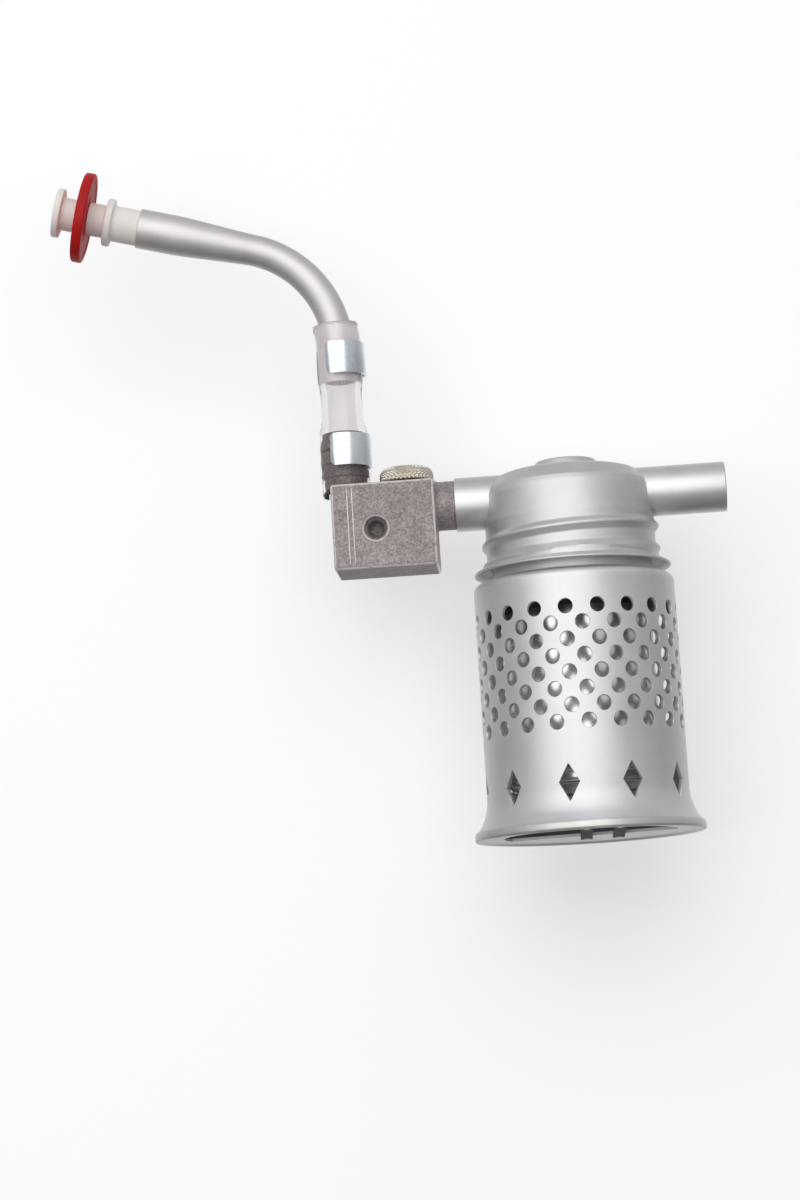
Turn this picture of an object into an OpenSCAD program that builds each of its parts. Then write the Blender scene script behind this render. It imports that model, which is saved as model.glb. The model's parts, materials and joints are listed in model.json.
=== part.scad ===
// Gas burner assembly: a perforated guard can with a screw cap, crossed by a mixing tube and an
// outlet tube, and fed through an injector block with a needle valve, a clamped hose and a bent
// inlet tube. Z runs up the can's axis from the base rim, X runs along the outlet tube.

/* [Guard can] */
// Outside diameter of the guard can
can_d = 56; // [50:0.5:62]
// Sheet thickness of the guard can
can_wall = 1; // [0.6:0.1:1.2]
// Height of the can's shoulder above the base rim
can_h = 71.8; // [66:0.2:84]
// Corner radius of the can's shoulder
can_corner_r = 2.5; // [1.5:0.1:3.5]
// Outside diameter of the can's threaded neck
neck_d = 44.7; // [43.5:0.1:44.8]
// Height of the can's neck above its shoulder
neck_h = 14.7; // [14:0.1:14.7]

/* [Guard holes] */
// Diameter of the round guard holes
hole_d = 4.1; // [2:0.1:4.6]
// Rows of round holes
hole_rows = 8; // [2:1:8]
// Round holes in one row
holes_per_row = 20; // [8:2:22]
// Distance between two rows
row_pitch = 4.47; // [3.8:0.01:4.8]
// Distance of the top row of holes below the can's shoulder
top_row_drop = 11; // [9.8:0.1:14]
// Angle of the first hole in the odd rows, from the front towards the outlet
hole_phase = -5.8; // [-18:0.1:18]
// Height of a diamond hole
diamond_h = 10; // [4:0.1:11]
// Width of a diamond hole
diamond_w = 5.8; // [3:0.1:8]
// Height of the diamonds' centres
diamond_z = 13.2; // [12:0.1:16]
// Diamond holes round the can
diamonds = 10; // [4:2:12]
// Angle of the first diamond, from the front towards the outlet
diamond_phase = -10.1; // [-36:0.1:36]

/* [Base] */
// Outside diameter of the base rim
base_d = 64; // [62.4:0.1:70]
// Sheet thickness of the base plate
base_wall = 0.8; // [0.5:0.1:1]
// Height of the rim that wraps the can's foot
base_rim_h = 2.8; // [2:0.1:3]
// Height of the plate above the surface that the rim stands on
base_recess = 0.6; // [0.5:0.05:0.8]
// Radius of the base plate's window
window_r = 24; // [18:0.5:27]
// Distance of the window's straight edge behind the can's axis
window_back = 4.9; // [0:0.1:8]
// Turn of the window's straight edge
window_turn = -11; // [-20:1:20]
// Width of the two straps across the window
strap_w = 3.3; // [2:0.1:4]

/* [Flame tube] */
// Outside diameter of the flame tube
flame_d = 42; // [40:0.1:42.4]
// Sheet thickness of the flame tube
flame_wall = 0.8; // [0.4:0.1:0.9]
// Height of the flame tube's lower edge
flame_low_z = 13.4; // [12:0.1:16]
// Distance of the flame tube's upper edge below the can's shoulder
flame_top_drop = 9.5; // [7.8:0.1:13.8]
// Thickness of the hanger that holds the flame tube
hanger_wall = 0.8; // [0.5:0.1:1]
// Length over which the flame tube is pushed onto the hanger
hanger_lap = 8; // [5:0.5:12]

/* [Screw cap] */
// Sheet thickness of the cap
cap_wall = 1; // [0.6:0.1:1]
// Outside diameter of the cap's skirt between the thread turns
skirt_d = 47.4; // [47.3:0.1:47.8]
// Outside diameter of the cap above the thread
cap_d = 46.5; // [46:0.1:46.6]
// Diameter of the cap's flat top
cap_top_d = 33; // [28:0.5:34]
// Height of the cap, from its lower rim to its flat top
cap_h = 29.1; // [29.1:0.1:31.8]
// Height of the cap's lower rim above the can's shoulder
cap_rim_up = 2.4; // [2:0.1:3.2]
// Outside diameter of the cap's flared rim
cap_rim_d = 55; // [51:0.5:56]
// Lead of the rolled thread
thread_pitch = 6.4; // [5.8:0.1:6.8]
// Height of the rolled thread
thread_h = 1.2; // [0.8:0.1:1.3]
// Diameter of the dome on the cap, at its foot
dome_d = 19.6; // [16:0.2:22]
// Diameter of the dome's flat top
dome_top_d = 12; // [8:0.2:12.4]
// Height of the dome on the cap
dome_h = 2.4; // [1.5:0.1:3]

/* [Cross tubes] */
// Height of the cross tubes' axis above the cap's lower rim
axis_up = 21.1; // [21.1:0.1:21.4]
// Outside diameter of the mixing tube
mix_d = 15.2; // [14:0.1:15.2]
// Outside diameter of the outlet tube
outlet_d = 14; // [13.4:0.1:15]
// Distance of the outlet tube's free end from the can's axis
outlet_end = 44.2; // [38:0.1:60]
// Wall of the two cross tubes
cross_wall = 1; // [0.8:0.1:1.1]
// Outside diameter of the tubes' spigots in the burner body
spigot_d = 12; // [11:0.1:12.4]

/* [Burner] */
// Diameter of the burner body inside the cap
body_d = 24; // [22:0.2:26]
// Outside diameter of the feed pipe
feed_d = 10; // [8:0.1:11]
// Outside diameter of the burner head
head_d = 35; // [30:0.5:36]
// Distance of the burner head's lower edge below the can's shoulder
head_drop = 12.8; // [11.8:0.1:15.8]
// Height of the burner head
head_h = 7; // [6:0.1:8]
// Wall of the burner head
head_wall = 1.2; // [0.8:0.1:1.5]

/* [Valve block] */
// Width of the block along the tubes
block_w = 29; // [28:0.1:32]
// Depth of the block
block_d = 19; // [18:0.1:24]
// Height of the block
block_h = 24.5; // [22:0.1:25]
// Distance of the block's lower face below the cross tubes' axis
block_drop = 17.8; // [16.3:0.1:17.8]
// Distance of the block's inner face from the can's axis
block_gap = 37; // [35:0.1:37]
// Rounding of the block's edges
block_edge_r = 0.9; // [0.8:0.1:2.4]
// Diameter of the block's round outlet stub
stub_d = 13.6; // [13:0.1:13.6]
// Distance of the mixing tube's outer end from the can's axis
mix_end = 31.5; // [31:0.1:33]
// Distance of the test port from the block's outer face
port_from_end = 12.2; // [12.1:0.1:13]
// Height of the test port above the block's lower face
port_up = 11.4; // [11.3:0.1:11.7]
// Bore of the test port
port_d = 6.4; // [5:0.1:6.4]

/* [Needle valve] */
// Diameter of the valve knob
knob_d = 15.3; // [14:0.1:16]
// Height of the knob's rim
knob_h = 4.3; // [4:0.1:6]
// Grooves round the knob
knob_grooves = 40; // [24:1:48]
// Distance of the valve's axis from the block's inner face
valve_from_end = 7.85; // [7.7:0.05:8]
// Diameter of the valve stem
stem_d = 5; // [4:0.1:5.4]
// Clearance all round a piece that turns or slides in another
running_gap = 0.05; // [0.02:0.01:0.08]
// Clearance under the knob
knob_gap = 0.6; // [0.6:0.1:0.9]

/* [Hose] */
// Distance of the hose's axis from the block's outer face
hose_from_end = 4.1; // [4.1:0.05:5]
// Outside diameter of the hose
hose_d = 12.1; // [11.6:0.1:13]
// Wall of the hose
hose_wall = 2; // [1.6:0.1:2.4]
// Length of the hose
hose_l = 47.2; // [44:0.1:49]
// Outside diameter of the barb that the hose is pushed over
barb_d = 10; // [9:0.1:11]
// Distance between two crests of the barb
barb_pitch = 4; // [3:0.1:4.4]
// Width of a hose clamp
clamp_w = 9.3; // [8:0.1:10]
// Thickness of a hose clamp
clamp_wall = 0.9; // [0.6:0.1:1.2]
// Gap between the ends of a hose clamp, as an angle
clamp_open = 115; // [30:1:130]
// Turn of a clamp's first end, from the front towards the outer side
clamp_turn = 27; // [0:1:60]

/* [Inlet tube] */
// Outside diameter of the inlet tube in the hose
inlet_d = 8.9; // [8:0.1:9.4]
// Outside diameter of the inlet tube at its free end
inlet_mouth_d = 11.3; // [10.6:0.1:12]
// Wall of the inlet tube at the hose
inlet_wall = 0.8; // [0.5:0.1:1]
// Wall of the inlet tube at its free end
mouth_wall = 0.5; // [0.4:0.05:0.7]
// Radius of the inlet tube's bend
bend_r = 30.6; // [28:0.2:45]
// Angle of the inlet tube's bend
bend_angle = 75.9; // [40:0.1:90]
// Height of the bend's start above the block
bend_up = 41.1; // [35:0.1:44]
// Length of the inlet tube beyond the bend
inlet_run = 32.7; // [26:0.1:50]
// Turn of the inlet tube in the hose, from straight outwards towards the front
inlet_turn = 5.5; // [-20:0.5:20]
// Length of the wide stretch at the free end
mouth_l = 11; // [6:0.1:14]

/* [Nipple] */
// Diameter of the nipple's end flange
nipple_flange_d = 14; // [13:0.1:18]
// Diameter of the collar next to the tube
collar_d = 13.6; // [12.6:0.1:16]
// Diameter of the neck that carries the disc
nipple_neck_d = 9.4; // [8:0.1:9.8]
// Distance of the collar from the tube's end
collar_from_end = 7.6; // [5:0.1:10]
// Distance between the collar and the end flange
neck_l = 12.6; // [8:0.1:16]
// Thickness of the collar and of the end flange
flange_t = 2; // [1.2:0.1:3]
// Length of the nipple inside the tube
nipple_in = 12; // [8:0.1:13]
// Bore of the nipple
nipple_bore_d = 4; // [2:0.1:5]
// Diameter of the grip disc
disc_d = 25.7; // [18:0.1:30]
// Thickness of the grip disc
disc_t = 2.9; // [2:0.1:4]

/* [Hidden] */

$fn = 96;
// A cut runs past the face that it opens by this much
cut = 1;
// Clearance between pieces that are fixed together
seat_gap = 0.05;
can_r = can_d / 2;
can_in_r = can_r - can_wall;
neck_r = neck_d / 2;
base_r = base_d / 2;
foot_r = base_r - 0.7;
foot_z = base_recess + base_wall + 0.2;
neck_top_z = can_h + neck_h;
top_row_z = can_h - top_row_drop;
flame_top_z = can_h - flame_top_drop;
flame_r = flame_d / 2;
flame_in_r = flame_r - flame_wall;

cap_rim_z = can_h + cap_rim_up;
cap_top_z = cap_rim_z + cap_h;
axis_z = cap_rim_z + axis_up;

// The cap's inside steps in above the gasket, just below the mixing tube
skirt_r = skirt_d / 2;
cap_r = cap_d / 2;
cap_step_z = neck_top_z + 1;
cap_under_z = cap_top_z - cap_wall;
dome_top_r = dome_top_d / 2;
// Half the width of a thread turn, outside and in its groove
thread_half = 1.9;
groove_half = thread_half - 0.1;
neck_thread_half = groove_half - 0.4;
groove_r = skirt_r - cap_wall + thread_h;
// The thread's crest passes the outlet side at this height
thread_z = cap_rim_z + 11.3;
thread_low_turn = -540;
thread_high_turn = 60;
neck_thread_low = -495;
neck_thread_high = -60;
thread_gap = 0.3;

// The full bore of a cross tube ends here inside the cap, where the tube is turned thinner
tube_shoulder = cap_top_d / 2 + 0.3;
tube_free = skirt_r + 0.9;
tube_turned = 0.25;
spigot_r = spigot_d / 2;
spigot_end = 8;
spigot_wall = 1;

head_r = head_d / 2;
head_low_z = can_h - head_drop;
head_top_z = head_low_z + head_h;
feed_r = feed_d / 2;
feed_wall = 1;
feed_top_z = axis_z - spigot_r - 1;
body_low_z = feed_top_z - 2.5;
gauze_z = head_low_z + 1;
gauze_t = 0.8;

block_x = -block_gap - block_w / 2;
block_end = -block_gap - block_w;
block_z = axis_z - block_drop;
block_top = block_z + block_h;
port_z = block_z + port_up;
bend_z = block_top + bend_up;
port_x = block_end + port_from_end;
valve_x = -block_gap - valve_from_end;
hose_x = block_end + hose_from_end;
chamber_r = stem_d / 2 + 0.7;
gland_r = chamber_r + 1.6;
gland_low = block_top - 2.6;
seat_z = port_z + 2.9;
channel_r = 1.6;
plug_r = channel_r + 0.6;
plug_in = 2.2;
port_floor = block_d / 2 - 5.5;
stem_r = stem_d / 2;
stem_low = axis_z + 2.2;
stem_top = block_top + knob_gap + knob_h - 2;
needle_r = 1.4;
needle_top = stem_low + 1.6;
jet_r = 3;
jet_end = -block_gap + 3;

knob_low = block_top + knob_gap;
knob_r = knob_d / 2;

barb_r = barb_d / 2;
barb_root_r = barb_r - 0.6;
barb_bore_r = 2.4;
barb_low = block_top - 7;
barb_top = block_top + 16;
hose_low = block_top + 0.3;
hose_top = hose_low + hose_l;
hose_in_r = hose_d / 2 - hose_wall;
inlet_r = inlet_d / 2;
inlet_low = hose_top - 17;
// The hose is stretched over the barb, and a little over the tube
barb_hose_r = barb_r + seat_gap + hose_wall - 0.1;
tube_hose_r = inlet_r + seat_gap + hose_wall;
lower_clamp_z = hose_low + 5.5;
upper_clamp_z = hose_top - 15.2;
hose_bend = (hose_top - bend_z) / bend_r * 180 / PI;

mouth_r = inlet_mouth_d / 2;
mouth_bore = mouth_r - mouth_wall;
nipple_r = mouth_bore - running_gap;
inlet_bore = inlet_r - inlet_wall;
// Straight stretches lap over a bend's ends by a hair, so that they become one piece with it
lap = 0.1;
lap_t = 0.02;

// Places a piece at the inlet tube's bend, whose centre lies outwards of the hose's axis
module at_bend() {
    translate([hose_x, 0, bend_z]) rotate([0, 0, inlet_turn]) translate([-bend_r, 0, 0]) children();
}

// Places a piece in the left end of the inlet tube's own frame, Z out of the tube's mouth
module at_inlet_mouth() {
    at_bend() rotate([0, -bend_angle, 0]) translate([bend_r, 0, inlet_run]) children();
}

// Lays a piece that is drawn along Z along X instead
module along_x(z = axis_z) {
    translate([0, 0, z]) rotate([0, 90, 0]) children();
}

// A straight hollow tube along Z
module tube(z0, z1, r, bore) {
    difference() {
        translate([0, 0, z0]) cylinder(r = r, h = z1 - z0);
        translate([0, 0, z0 - cut]) cylinder(r = bore, h = z1 - z0 + 2 * cut);
    }
}

// A block whose twelve edges are rounded
module rounded_block(size, r) {
    intersection() {
        linear_extrude(size.z, center = true) rounded_rect(size.x, size.y, r);
        rotate([90, 0, 0]) linear_extrude(size.y, center = true) rounded_rect(size.x, size.z, r);
        rotate([0, 90, 0]) linear_extrude(size.x, center = true) rounded_rect(size.z, size.y, r);
    }
}

module rounded_rect(w, h, r) {
    square([w - 2 * r, h], center = true);
    square([w, h - 2 * r], center = true);
    for (x = [-1, 1], y = [-1, 1])
        translate([x * (w / 2 - r), y * (h / 2 - r)]) circle(r = r, $fn = 32);
}

// Points on an arc in the plane of a turned profile
function arc(cx, cz, r, from, to, steps = 6) =
    [for (i = [0 : steps]) let (a = from + (to - from) * i / steps) [cx + r * cos(a), cz + r * sin(a)]];

// Height of the thread's middle at a turn angle
function thread_at(turn) = thread_z + thread_pitch * turn / 360;

// A rolled thread turn: its section follows the thread and fades out at the ends
module thread_ridge(foot, crest, half, low, high, fade_low, fade_high) {
    step = 7.5;
    count = round((high - low) / step);
    section = [[-1, 0], [-0.5, 0.85], [0, 1], [0.5, 0.85], [1, 0]];
    sides = len(section);
    points = [for (i = [0 : count])
        let (turn = low + (high - low) * i / count,
             fade = max(0.15, min(1, (turn - low) / fade_low, (high - turn) / fade_high)))
        for (p = section)
            let (r = foot + (crest - foot) * p.y * fade)
            [r * cos(turn), r * sin(turn), thread_at(turn) + half * p.x]];
    faces = concat(
        [[for (k = [sides - 1 : -1 : 0]) k]],
        [for (i = [0 : count - 1], k = [0 : sides - 1])
            let (a = i * sides + k, b = i * sides + (k + 1) % sides)
            each [[a, b, b + sides], [a, b + sides, a + sides]]],
        [[for (k = [0 : sides - 1]) count * sides + k]]);
    polyhedron(points, faces, convexity = 8);
}

// Places a cut that runs outwards through the can's wall
module through_wall(angle, z) {
    rotate([0, 0, angle]) translate([0, -can_in_r + cut, z]) rotate([90, 0, 0]) children();
}

module guard_can() {
    foot = [[can_r, foot_z + 8.6], [can_r + 0.4, foot_z + 7.2], [can_r + 0.9, foot_z + 5.1],
        [can_r + 1.9, foot_z + 2.8], [foot_r - 0.3, foot_z + 1.3], [foot_r, foot_z + 0.8]];
    outside = concat(
        [[neck_r, neck_top_z], [neck_r, can_h]],
        arc(can_r - can_corner_r, can_h - can_corner_r, can_corner_r, 90, 0), foot);
    foot_inside = [[foot_r, foot_z], [foot_r - 1.1, foot_z + 0.3], [can_r + 0.9, foot_z + 2.3],
        [can_r - 0.1, foot_z + 4.8], [can_in_r + 0.4, foot_z + 7], [can_in_r, foot_z + 8.6]];
    inside = concat(foot_inside,
        arc(can_r - can_corner_r, can_h - can_corner_r, can_corner_r - can_wall, 0, 90),
        [[neck_r - can_wall, can_h - can_wall], [neck_r - can_wall, neck_top_z]]);
    color([0.8, 0.8, 0.82])
    union() {
        difference() {
            rotate_extrude() polygon(concat(outside, inside));
            for (row = [0 : hole_rows - 1], k = [0 : holes_per_row - 1])
                through_wall(hole_phase + (k + (row % 2) / 2) * 360 / holes_per_row,
                    top_row_z - row * row_pitch)
                    cylinder(d = hole_d, h = can_wall + 3 * cut);
            for (k = [0 : diamonds - 1])
                through_wall(diamond_phase + k * 360 / diamonds, diamond_z)
                    linear_extrude(can_wall + 3 * cut)
                        polygon([[diamond_w / 2, 0], [0, diamond_h / 2],
                            [-diamond_w / 2, 0], [0, -diamond_h / 2]]);
        }
        thread_ridge(neck_r - 0.4, groove_r - thread_gap, neck_thread_half,
            neck_thread_low, neck_thread_high, 30, 30);
    }
}

module base_plate() {
    rim = [[foot_r - 0.3, base_recess], [foot_r - 0.3, 0.4], [foot_r, 0], [base_r - 0.4, 0],
        [base_r - 0.1, 0.3], [base_r, 0.9], [base_r - 0.1, base_rim_h - 0.5],
        [base_r - 0.4, base_rim_h], [foot_r + 0.1, base_rim_h],
        [foot_r + 0.1, base_recess + base_wall]];
    color([0.66, 0.64, 0.62])
    difference() {
        rotate_extrude()
            polygon(concat([[0, base_recess]], rim, [[0, base_recess + base_wall]]));
        linear_extrude(base_rim_h)
            intersection() {
                circle(r = window_r);
                rotate(window_turn)
                    translate([-base_d, window_back - 2 * base_d]) square(2 * base_d);
            }
        strap_holes(base_recess - cut, base_rim_h);
    }
}

// The two straps and their rivets run from front to back across the window
strap_x = [-1.2, 7.8];
strap_front = -window_r - 2.2;
strap_back = window_back + 10;
strap_t = 0.4;
rivet_d = 2;

module strap_holes(z0, h) {
    for (x = strap_x, y = [strap_front + 1, strap_back - 2])
        translate([x, y, z0]) cylinder(d = rivet_d + 0.1, h = h);
}

module window_straps() {
    color([0.42, 0.39, 0.36])
    difference() {
        for (x = strap_x)
            translate([x - strap_w / 2, strap_front, base_recess - strap_t])
                cube([strap_w, strap_back - strap_front, strap_t]);
        strap_holes(0, base_rim_h);
    }
}

module strap_rivets() {
    color([0.5, 0.48, 0.46])
    for (x = strap_x, y = [strap_front + 1, strap_back - 2])
        translate([x, y, base_recess - strap_t]) {
            cylinder(d = rivet_d, h = strap_t + base_wall);
            translate([0, 0, strap_t + base_wall]) cylinder(d = rivet_d + 0.8, h = 0.3);
        }
}

// Two rolled beads stiffen the flame tube's lower edge
module flame_tube() {
    bead = 0.5;
    edge_bead_z = flame_low_z + bead + 0.05;
    upper_bead_z = flame_low_z + 7 * bead + 0.1;
    color([0.86, 0.86, 0.88])
    rotate_extrude()
        polygon([[flame_in_r, flame_top_z], [flame_r, flame_top_z],
            [flame_r, upper_bead_z + 1.6 * bead],
            [flame_r + bead, upper_bead_z + 0.6 * bead], [flame_r + bead, upper_bead_z - 0.6 * bead],
            [flame_r, upper_bead_z - 1.6 * bead], [flame_r, edge_bead_z + 1.3 * bead],
            [flame_r + bead, edge_bead_z + 0.7 * bead], [flame_r + bead, edge_bead_z - 0.7 * bead],
            [flame_r + 0.4 * bead, flame_low_z], [flame_in_r, flame_low_z]]);
}

// A flanged sleeve under the can's shoulder that the flame tube is pushed over
module tube_hanger() {
    sleeve_r = flame_in_r - seat_gap;
    top = can_h - can_wall;
    color([0.45, 0.44, 0.43])
    difference() {
        union() {
            tube(flame_top_z - hanger_lap, top, sleeve_r, sleeve_r - hanger_wall);
            tube(top - hanger_wall, top, can_in_r - can_corner_r, sleeve_r - hanger_wall);
        }
        for (k = [0 : 5])
            rotate([0, 0, 60 * k])
                translate([sleeve_r + 2.6, 0, top - hanger_wall - cut])
                    cylinder(d = 2.4, h = hanger_wall + 2 * cut);
    }
}

module cap_gasket() {
    color([0.2, 0.2, 0.2])
    tube(neck_top_z, cap_step_z, skirt_r - cap_wall - 0.15, neck_r - can_wall);
}

module screw_cap() {
    corner = 2.6;
    corner_z = cap_top_z - 6.4;
    corner_in = 0.3;
    hole_gap = seat_gap - tube_turned;
    flare = [[cap_rim_d / 2, cap_rim_z + 0.3], [cap_rim_d / 2 - 1.4, cap_rim_z + 1.1],
        [skirt_r + 1, cap_rim_z + 2.3], [skirt_r + 0.2, cap_rim_z + 3.6], [skirt_r, cap_rim_z + 5]];
    outside = concat(flare,
        [[skirt_r, cap_step_z + 1], [cap_r, cap_step_z + 2]],
        arc(cap_r - corner_in - corner, corner_z, corner, 0, 50),
        [[cap_top_d / 2 + 0.7, cap_top_z - 0.4], [cap_top_d / 2, cap_top_z],
         [dome_d / 2, cap_top_z], [dome_top_r + 1.6, cap_top_z + dome_h - 0.8],
         [dome_top_r, cap_top_z + dome_h], [0, cap_top_z + dome_h]]);
    inside = [[0, cap_top_z + dome_h - cap_wall], [dome_top_r - 0.4, cap_top_z + dome_h - cap_wall],
        [dome_d / 2 - cap_wall, cap_under_z], [cap_top_d / 2 - 0.4, cap_under_z],
        [cap_r - cap_wall - 1.3, corner_z + 1.1], [cap_r - cap_wall - corner_in, corner_z],
        [cap_r - cap_wall, corner_z - 2],
        [cap_r - cap_wall, cap_step_z], [skirt_r - cap_wall, cap_step_z],
        [skirt_r - cap_wall, cap_rim_z + 4.6], [skirt_r - cap_wall + 0.3, cap_rim_z + 3.1],
        [skirt_r + 0.4, cap_rim_z + 1.7], [cap_rim_d / 2 - 1.6, cap_rim_z + 0.3],
        [cap_rim_d / 2 - 0.6, cap_rim_z]];
    color([0.74, 0.73, 0.74])
    difference() {
        union() {
            rotate_extrude() polygon(concat(outside, inside));
            thread_ridge(skirt_r - 0.35, skirt_r + thread_h, thread_half,
                thread_low_turn, thread_high_turn, 30, 60);
        }
        thread_ridge(skirt_r - cap_wall - 0.6, groove_r, groove_half,
            thread_low_turn - 30, thread_high_turn, 15, 30);
        along_x() mirror([0, 0, 1])
            translate([0, 0, tube_shoulder - 0.3])
                cylinder(d = mix_d + 2 * hole_gap, h = cap_r);
        along_x() translate([0, 0, tube_shoulder - 0.3])
            cylinder(d = outlet_d + 2 * hole_gap, h = cap_r);
    }
}

// A cross tube along Z: full bore outside the cap, a narrower spigot inside
module cross_tube(r, end, chamfer) {
    bore = r - cross_wall;
    rotate_extrude()
        polygon([[spigot_r - spigot_wall, spigot_end], [spigot_r, spigot_end],
            [spigot_r, tube_shoulder], [r - tube_turned, tube_shoulder],
            [r - tube_turned, tube_free], [r, tube_free + tube_turned], [r, end - chamfer],
            [r - chamfer, end], [bore, end], [bore, tube_shoulder + cross_wall + 0.6],
            [spigot_r - spigot_wall, tube_shoulder + cross_wall]]);
}

module mixing_tube() {
    color([0.78, 0.78, 0.8])
    along_x() mirror([0, 0, 1]) cross_tube(mix_d / 2, mix_end, 0.2);
}

module outlet_tube() {
    color([0.8, 0.8, 0.82])
    along_x() cross_tube(outlet_d / 2, outlet_end, 0.3);
}

// The tee that joins the two cross tubes and feeds the burner below
module burner_body() {
    socket_r = spigot_r + seat_gap;
    color([0.72, 0.58, 0.3])
    difference() {
        union() {
            translate([0, 0, body_low_z]) cylinder(d = body_d, h = cap_under_z - body_low_z);
            translate([0, 0, cap_under_z])
                cylinder(r = dome_top_r - 0.6, h = dome_h - 0.3);
        }
        along_x() cylinder(r = spigot_r - spigot_wall, h = body_d + 2, center = true);
        for (side = [0, 1])
            along_x() mirror([0, 0, side])
                translate([0, 0, spigot_end]) cylinder(r = socket_r, h = body_d);
        translate([0, 0, body_low_z - cut])
            cylinder(r = feed_r - feed_wall, h = axis_z - body_low_z + cut);
        translate([0, 0, body_low_z - cut])
            cylinder(r = feed_r + seat_gap, h = feed_top_z - body_low_z + cut);
    }
}

module feed_pipe() {
    color([0.74, 0.6, 0.32])
    tube(head_top_z - head_wall, feed_top_z, feed_r, feed_r - feed_wall);
}

module burner_head() {
    hub = feed_r + seat_gap;
    hub_wall = 2;
    hub_top = head_top_z + 2 * hub_wall;
    slope = 2;
    inside = slope + head_wall / 2;
    color([0.7, 0.56, 0.3])
    difference() {
        rotate_extrude()
            polygon([[hub, head_top_z - head_wall], [hub, hub_top], [hub + hub_wall, hub_top],
                [hub + hub_wall, head_top_z], [head_r - slope, head_top_z],
                [head_r, head_top_z - slope], [head_r, head_low_z], [head_r - head_wall, head_low_z],
                [head_r - head_wall, head_top_z - inside], [head_r - inside, head_top_z - head_wall]]);
        for (k = [0 : 11])
            rotate([0, 0, 30 * k])
                translate([head_r - 5, 0, head_top_z - head_wall - cut])
                    cylinder(d = 1.6, h = head_wall + 2 * cut);
    }
}

module flame_gauze() {
    pitch = 3;
    reach = head_r - head_wall - seat_gap;
    color([0.3, 0.3, 0.32])
    difference() {
        translate([0, 0, gauze_z]) cylinder(r = reach, h = gauze_t);
        for (i = [-6 : 6], j = [-6 : 6])
            if (norm([i, j]) * pitch < reach - 2.5)
                translate([i * pitch, j * pitch, gauze_z - cut])
                    cylinder(d = 1.6, h = gauze_t + 2 * cut, $fn = 16);
    }
}

module gauze_ring() {
    r = head_r - head_wall - seat_gap;
    color([0.55, 0.54, 0.52])
    tube(head_low_z, gauze_z, r, r - 1.4);
}

module valve_block() {
    stub_r = stub_d / 2;
    stub_bore = 4;
    spigot_l = 6;
    ridge_w = 0.8;
    ridge_from_end = 5.6;
    ridge_out = 0.3;
    ridge_short = 2.5;
    color([0.52, 0.49, 0.46])
    difference() {
        union() {
            translate([block_x, 0, block_z + block_h / 2])
                rounded_block([block_w, block_d, block_h], block_edge_r);
            along_x() mirror([0, 0, 1])
                translate([0, 0, mix_end]) cylinder(r = stub_r, h = block_gap - mix_end + 2);
            along_x() mirror([0, 0, 1])
                translate([0, 0, mix_end - spigot_l])
                    cylinder(r = mix_d / 2 - cross_wall - seat_gap, h = spigot_l + 2);
            translate([block_end + ridge_from_end - ridge_w / 2, -block_d / 2 - ridge_out,
                block_z + ridge_short])
                cube([ridge_w, ridge_out + 0.7, block_h - 2 * ridge_short]);
        }
        // Outlet from the valve to the mixing tube, with a seat for the jet
        along_x() mirror([0, 0, 1])
            translate([0, 0, mix_end - spigot_l - cut])
                cylinder(r = stub_bore, h = block_gap - mix_end + spigot_l);
        along_x() mirror([0, 0, 1])
            translate([0, 0, -jet_end - cut]) cylinder(r = jet_r + seat_gap, h = 4 + cut);
        along_x() mirror([0, 0, 1])
            translate([0, 0, -jet_end]) cylinder(r = channel_r, h = -valve_x + jet_end);
        // Valve chamber, gland seat and needle seat
        translate([valve_x, 0, seat_z]) cylinder(r = chamber_r, h = block_top);
        translate([valve_x, 0, gland_low]) cylinder(r = gland_r, h = block_top);
        translate([valve_x, 0, port_z]) cylinder(r = 1.1, h = block_h);
        // Channel from the hose barb to the needle seat, drilled from the outer face
        along_x(port_z) mirror([0, 0, 1])
            translate([0, 0, -valve_x]) cylinder(r = channel_r, h = block_w);
        along_x(port_z) mirror([0, 0, 1])
            translate([0, 0, -block_end - plug_in]) cylinder(r = plug_r, h = block_w);
        translate([hose_x, 0, port_z]) cylinder(r = channel_r, h = block_h);
        translate([hose_x, 0, barb_low]) cylinder(r = barb_root_r + seat_gap, h = block_h);
        // Test port in the front face
        translate([port_x, 0, port_z]) rotate([90, 0, 0]) {
            cylinder(r = channel_r, h = block_d);
            translate([0, 0, port_floor]) cylinder(d = port_d, h = block_d);
            translate([0, 0, block_d / 2 - 0.9])
                cylinder(r1 = port_d / 2, r2 = port_d / 2 + 1.8, h = 1.8);
        }
    }
}

// The screw that closes the test port, with a socket for its key
module test_screw() {
    screw_h = 3.9;
    face = port_floor + screw_h;
    recess = 1.6;
    color([0.6, 0.6, 0.6])
    translate([port_x, 0, port_z]) rotate([90, 0, 0])
    difference() {
        translate([0, 0, port_floor]) cylinder(d = port_d - 2 * seat_gap, h = screw_h);
        translate([0, 0, face - recess]) cylinder(r = 2.15, h = recess + cut);
        translate([0, 0, face - recess - 1]) cylinder(r = 1.3, h = 2, $fn = 6);
    }
}

module channel_plug() {
    color([0.6, 0.6, 0.6])
    along_x(port_z) mirror([0, 0, 1])
        translate([0, 0, -block_end - plug_in]) cylinder(r = plug_r - seat_gap, h = plug_in - 0.3);
}

module injector_jet() {
    color([0.78, 0.64, 0.34])
    along_x() mirror([0, 0, 1])
    difference() {
        translate([0, 0, -jet_end - 2.5]) {
            cylinder(r = 2, h = 2.5);
            translate([0, 0, 2.5]) cylinder(r = jet_r, h = 3);
        }
        translate([0, 0, -jet_end - 3.5]) cylinder(r = 0.5, h = 8);
        translate([0, 0, -jet_end + 1]) cylinder(r = 1.4, h = 3);
    }
}

module valve_gland() {
    color([0.7, 0.57, 0.3])
    translate([valve_x, 0, 0])
        tube(gland_low + 1.1, block_top, gland_r - seat_gap, stem_r + running_gap);
}

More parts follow.
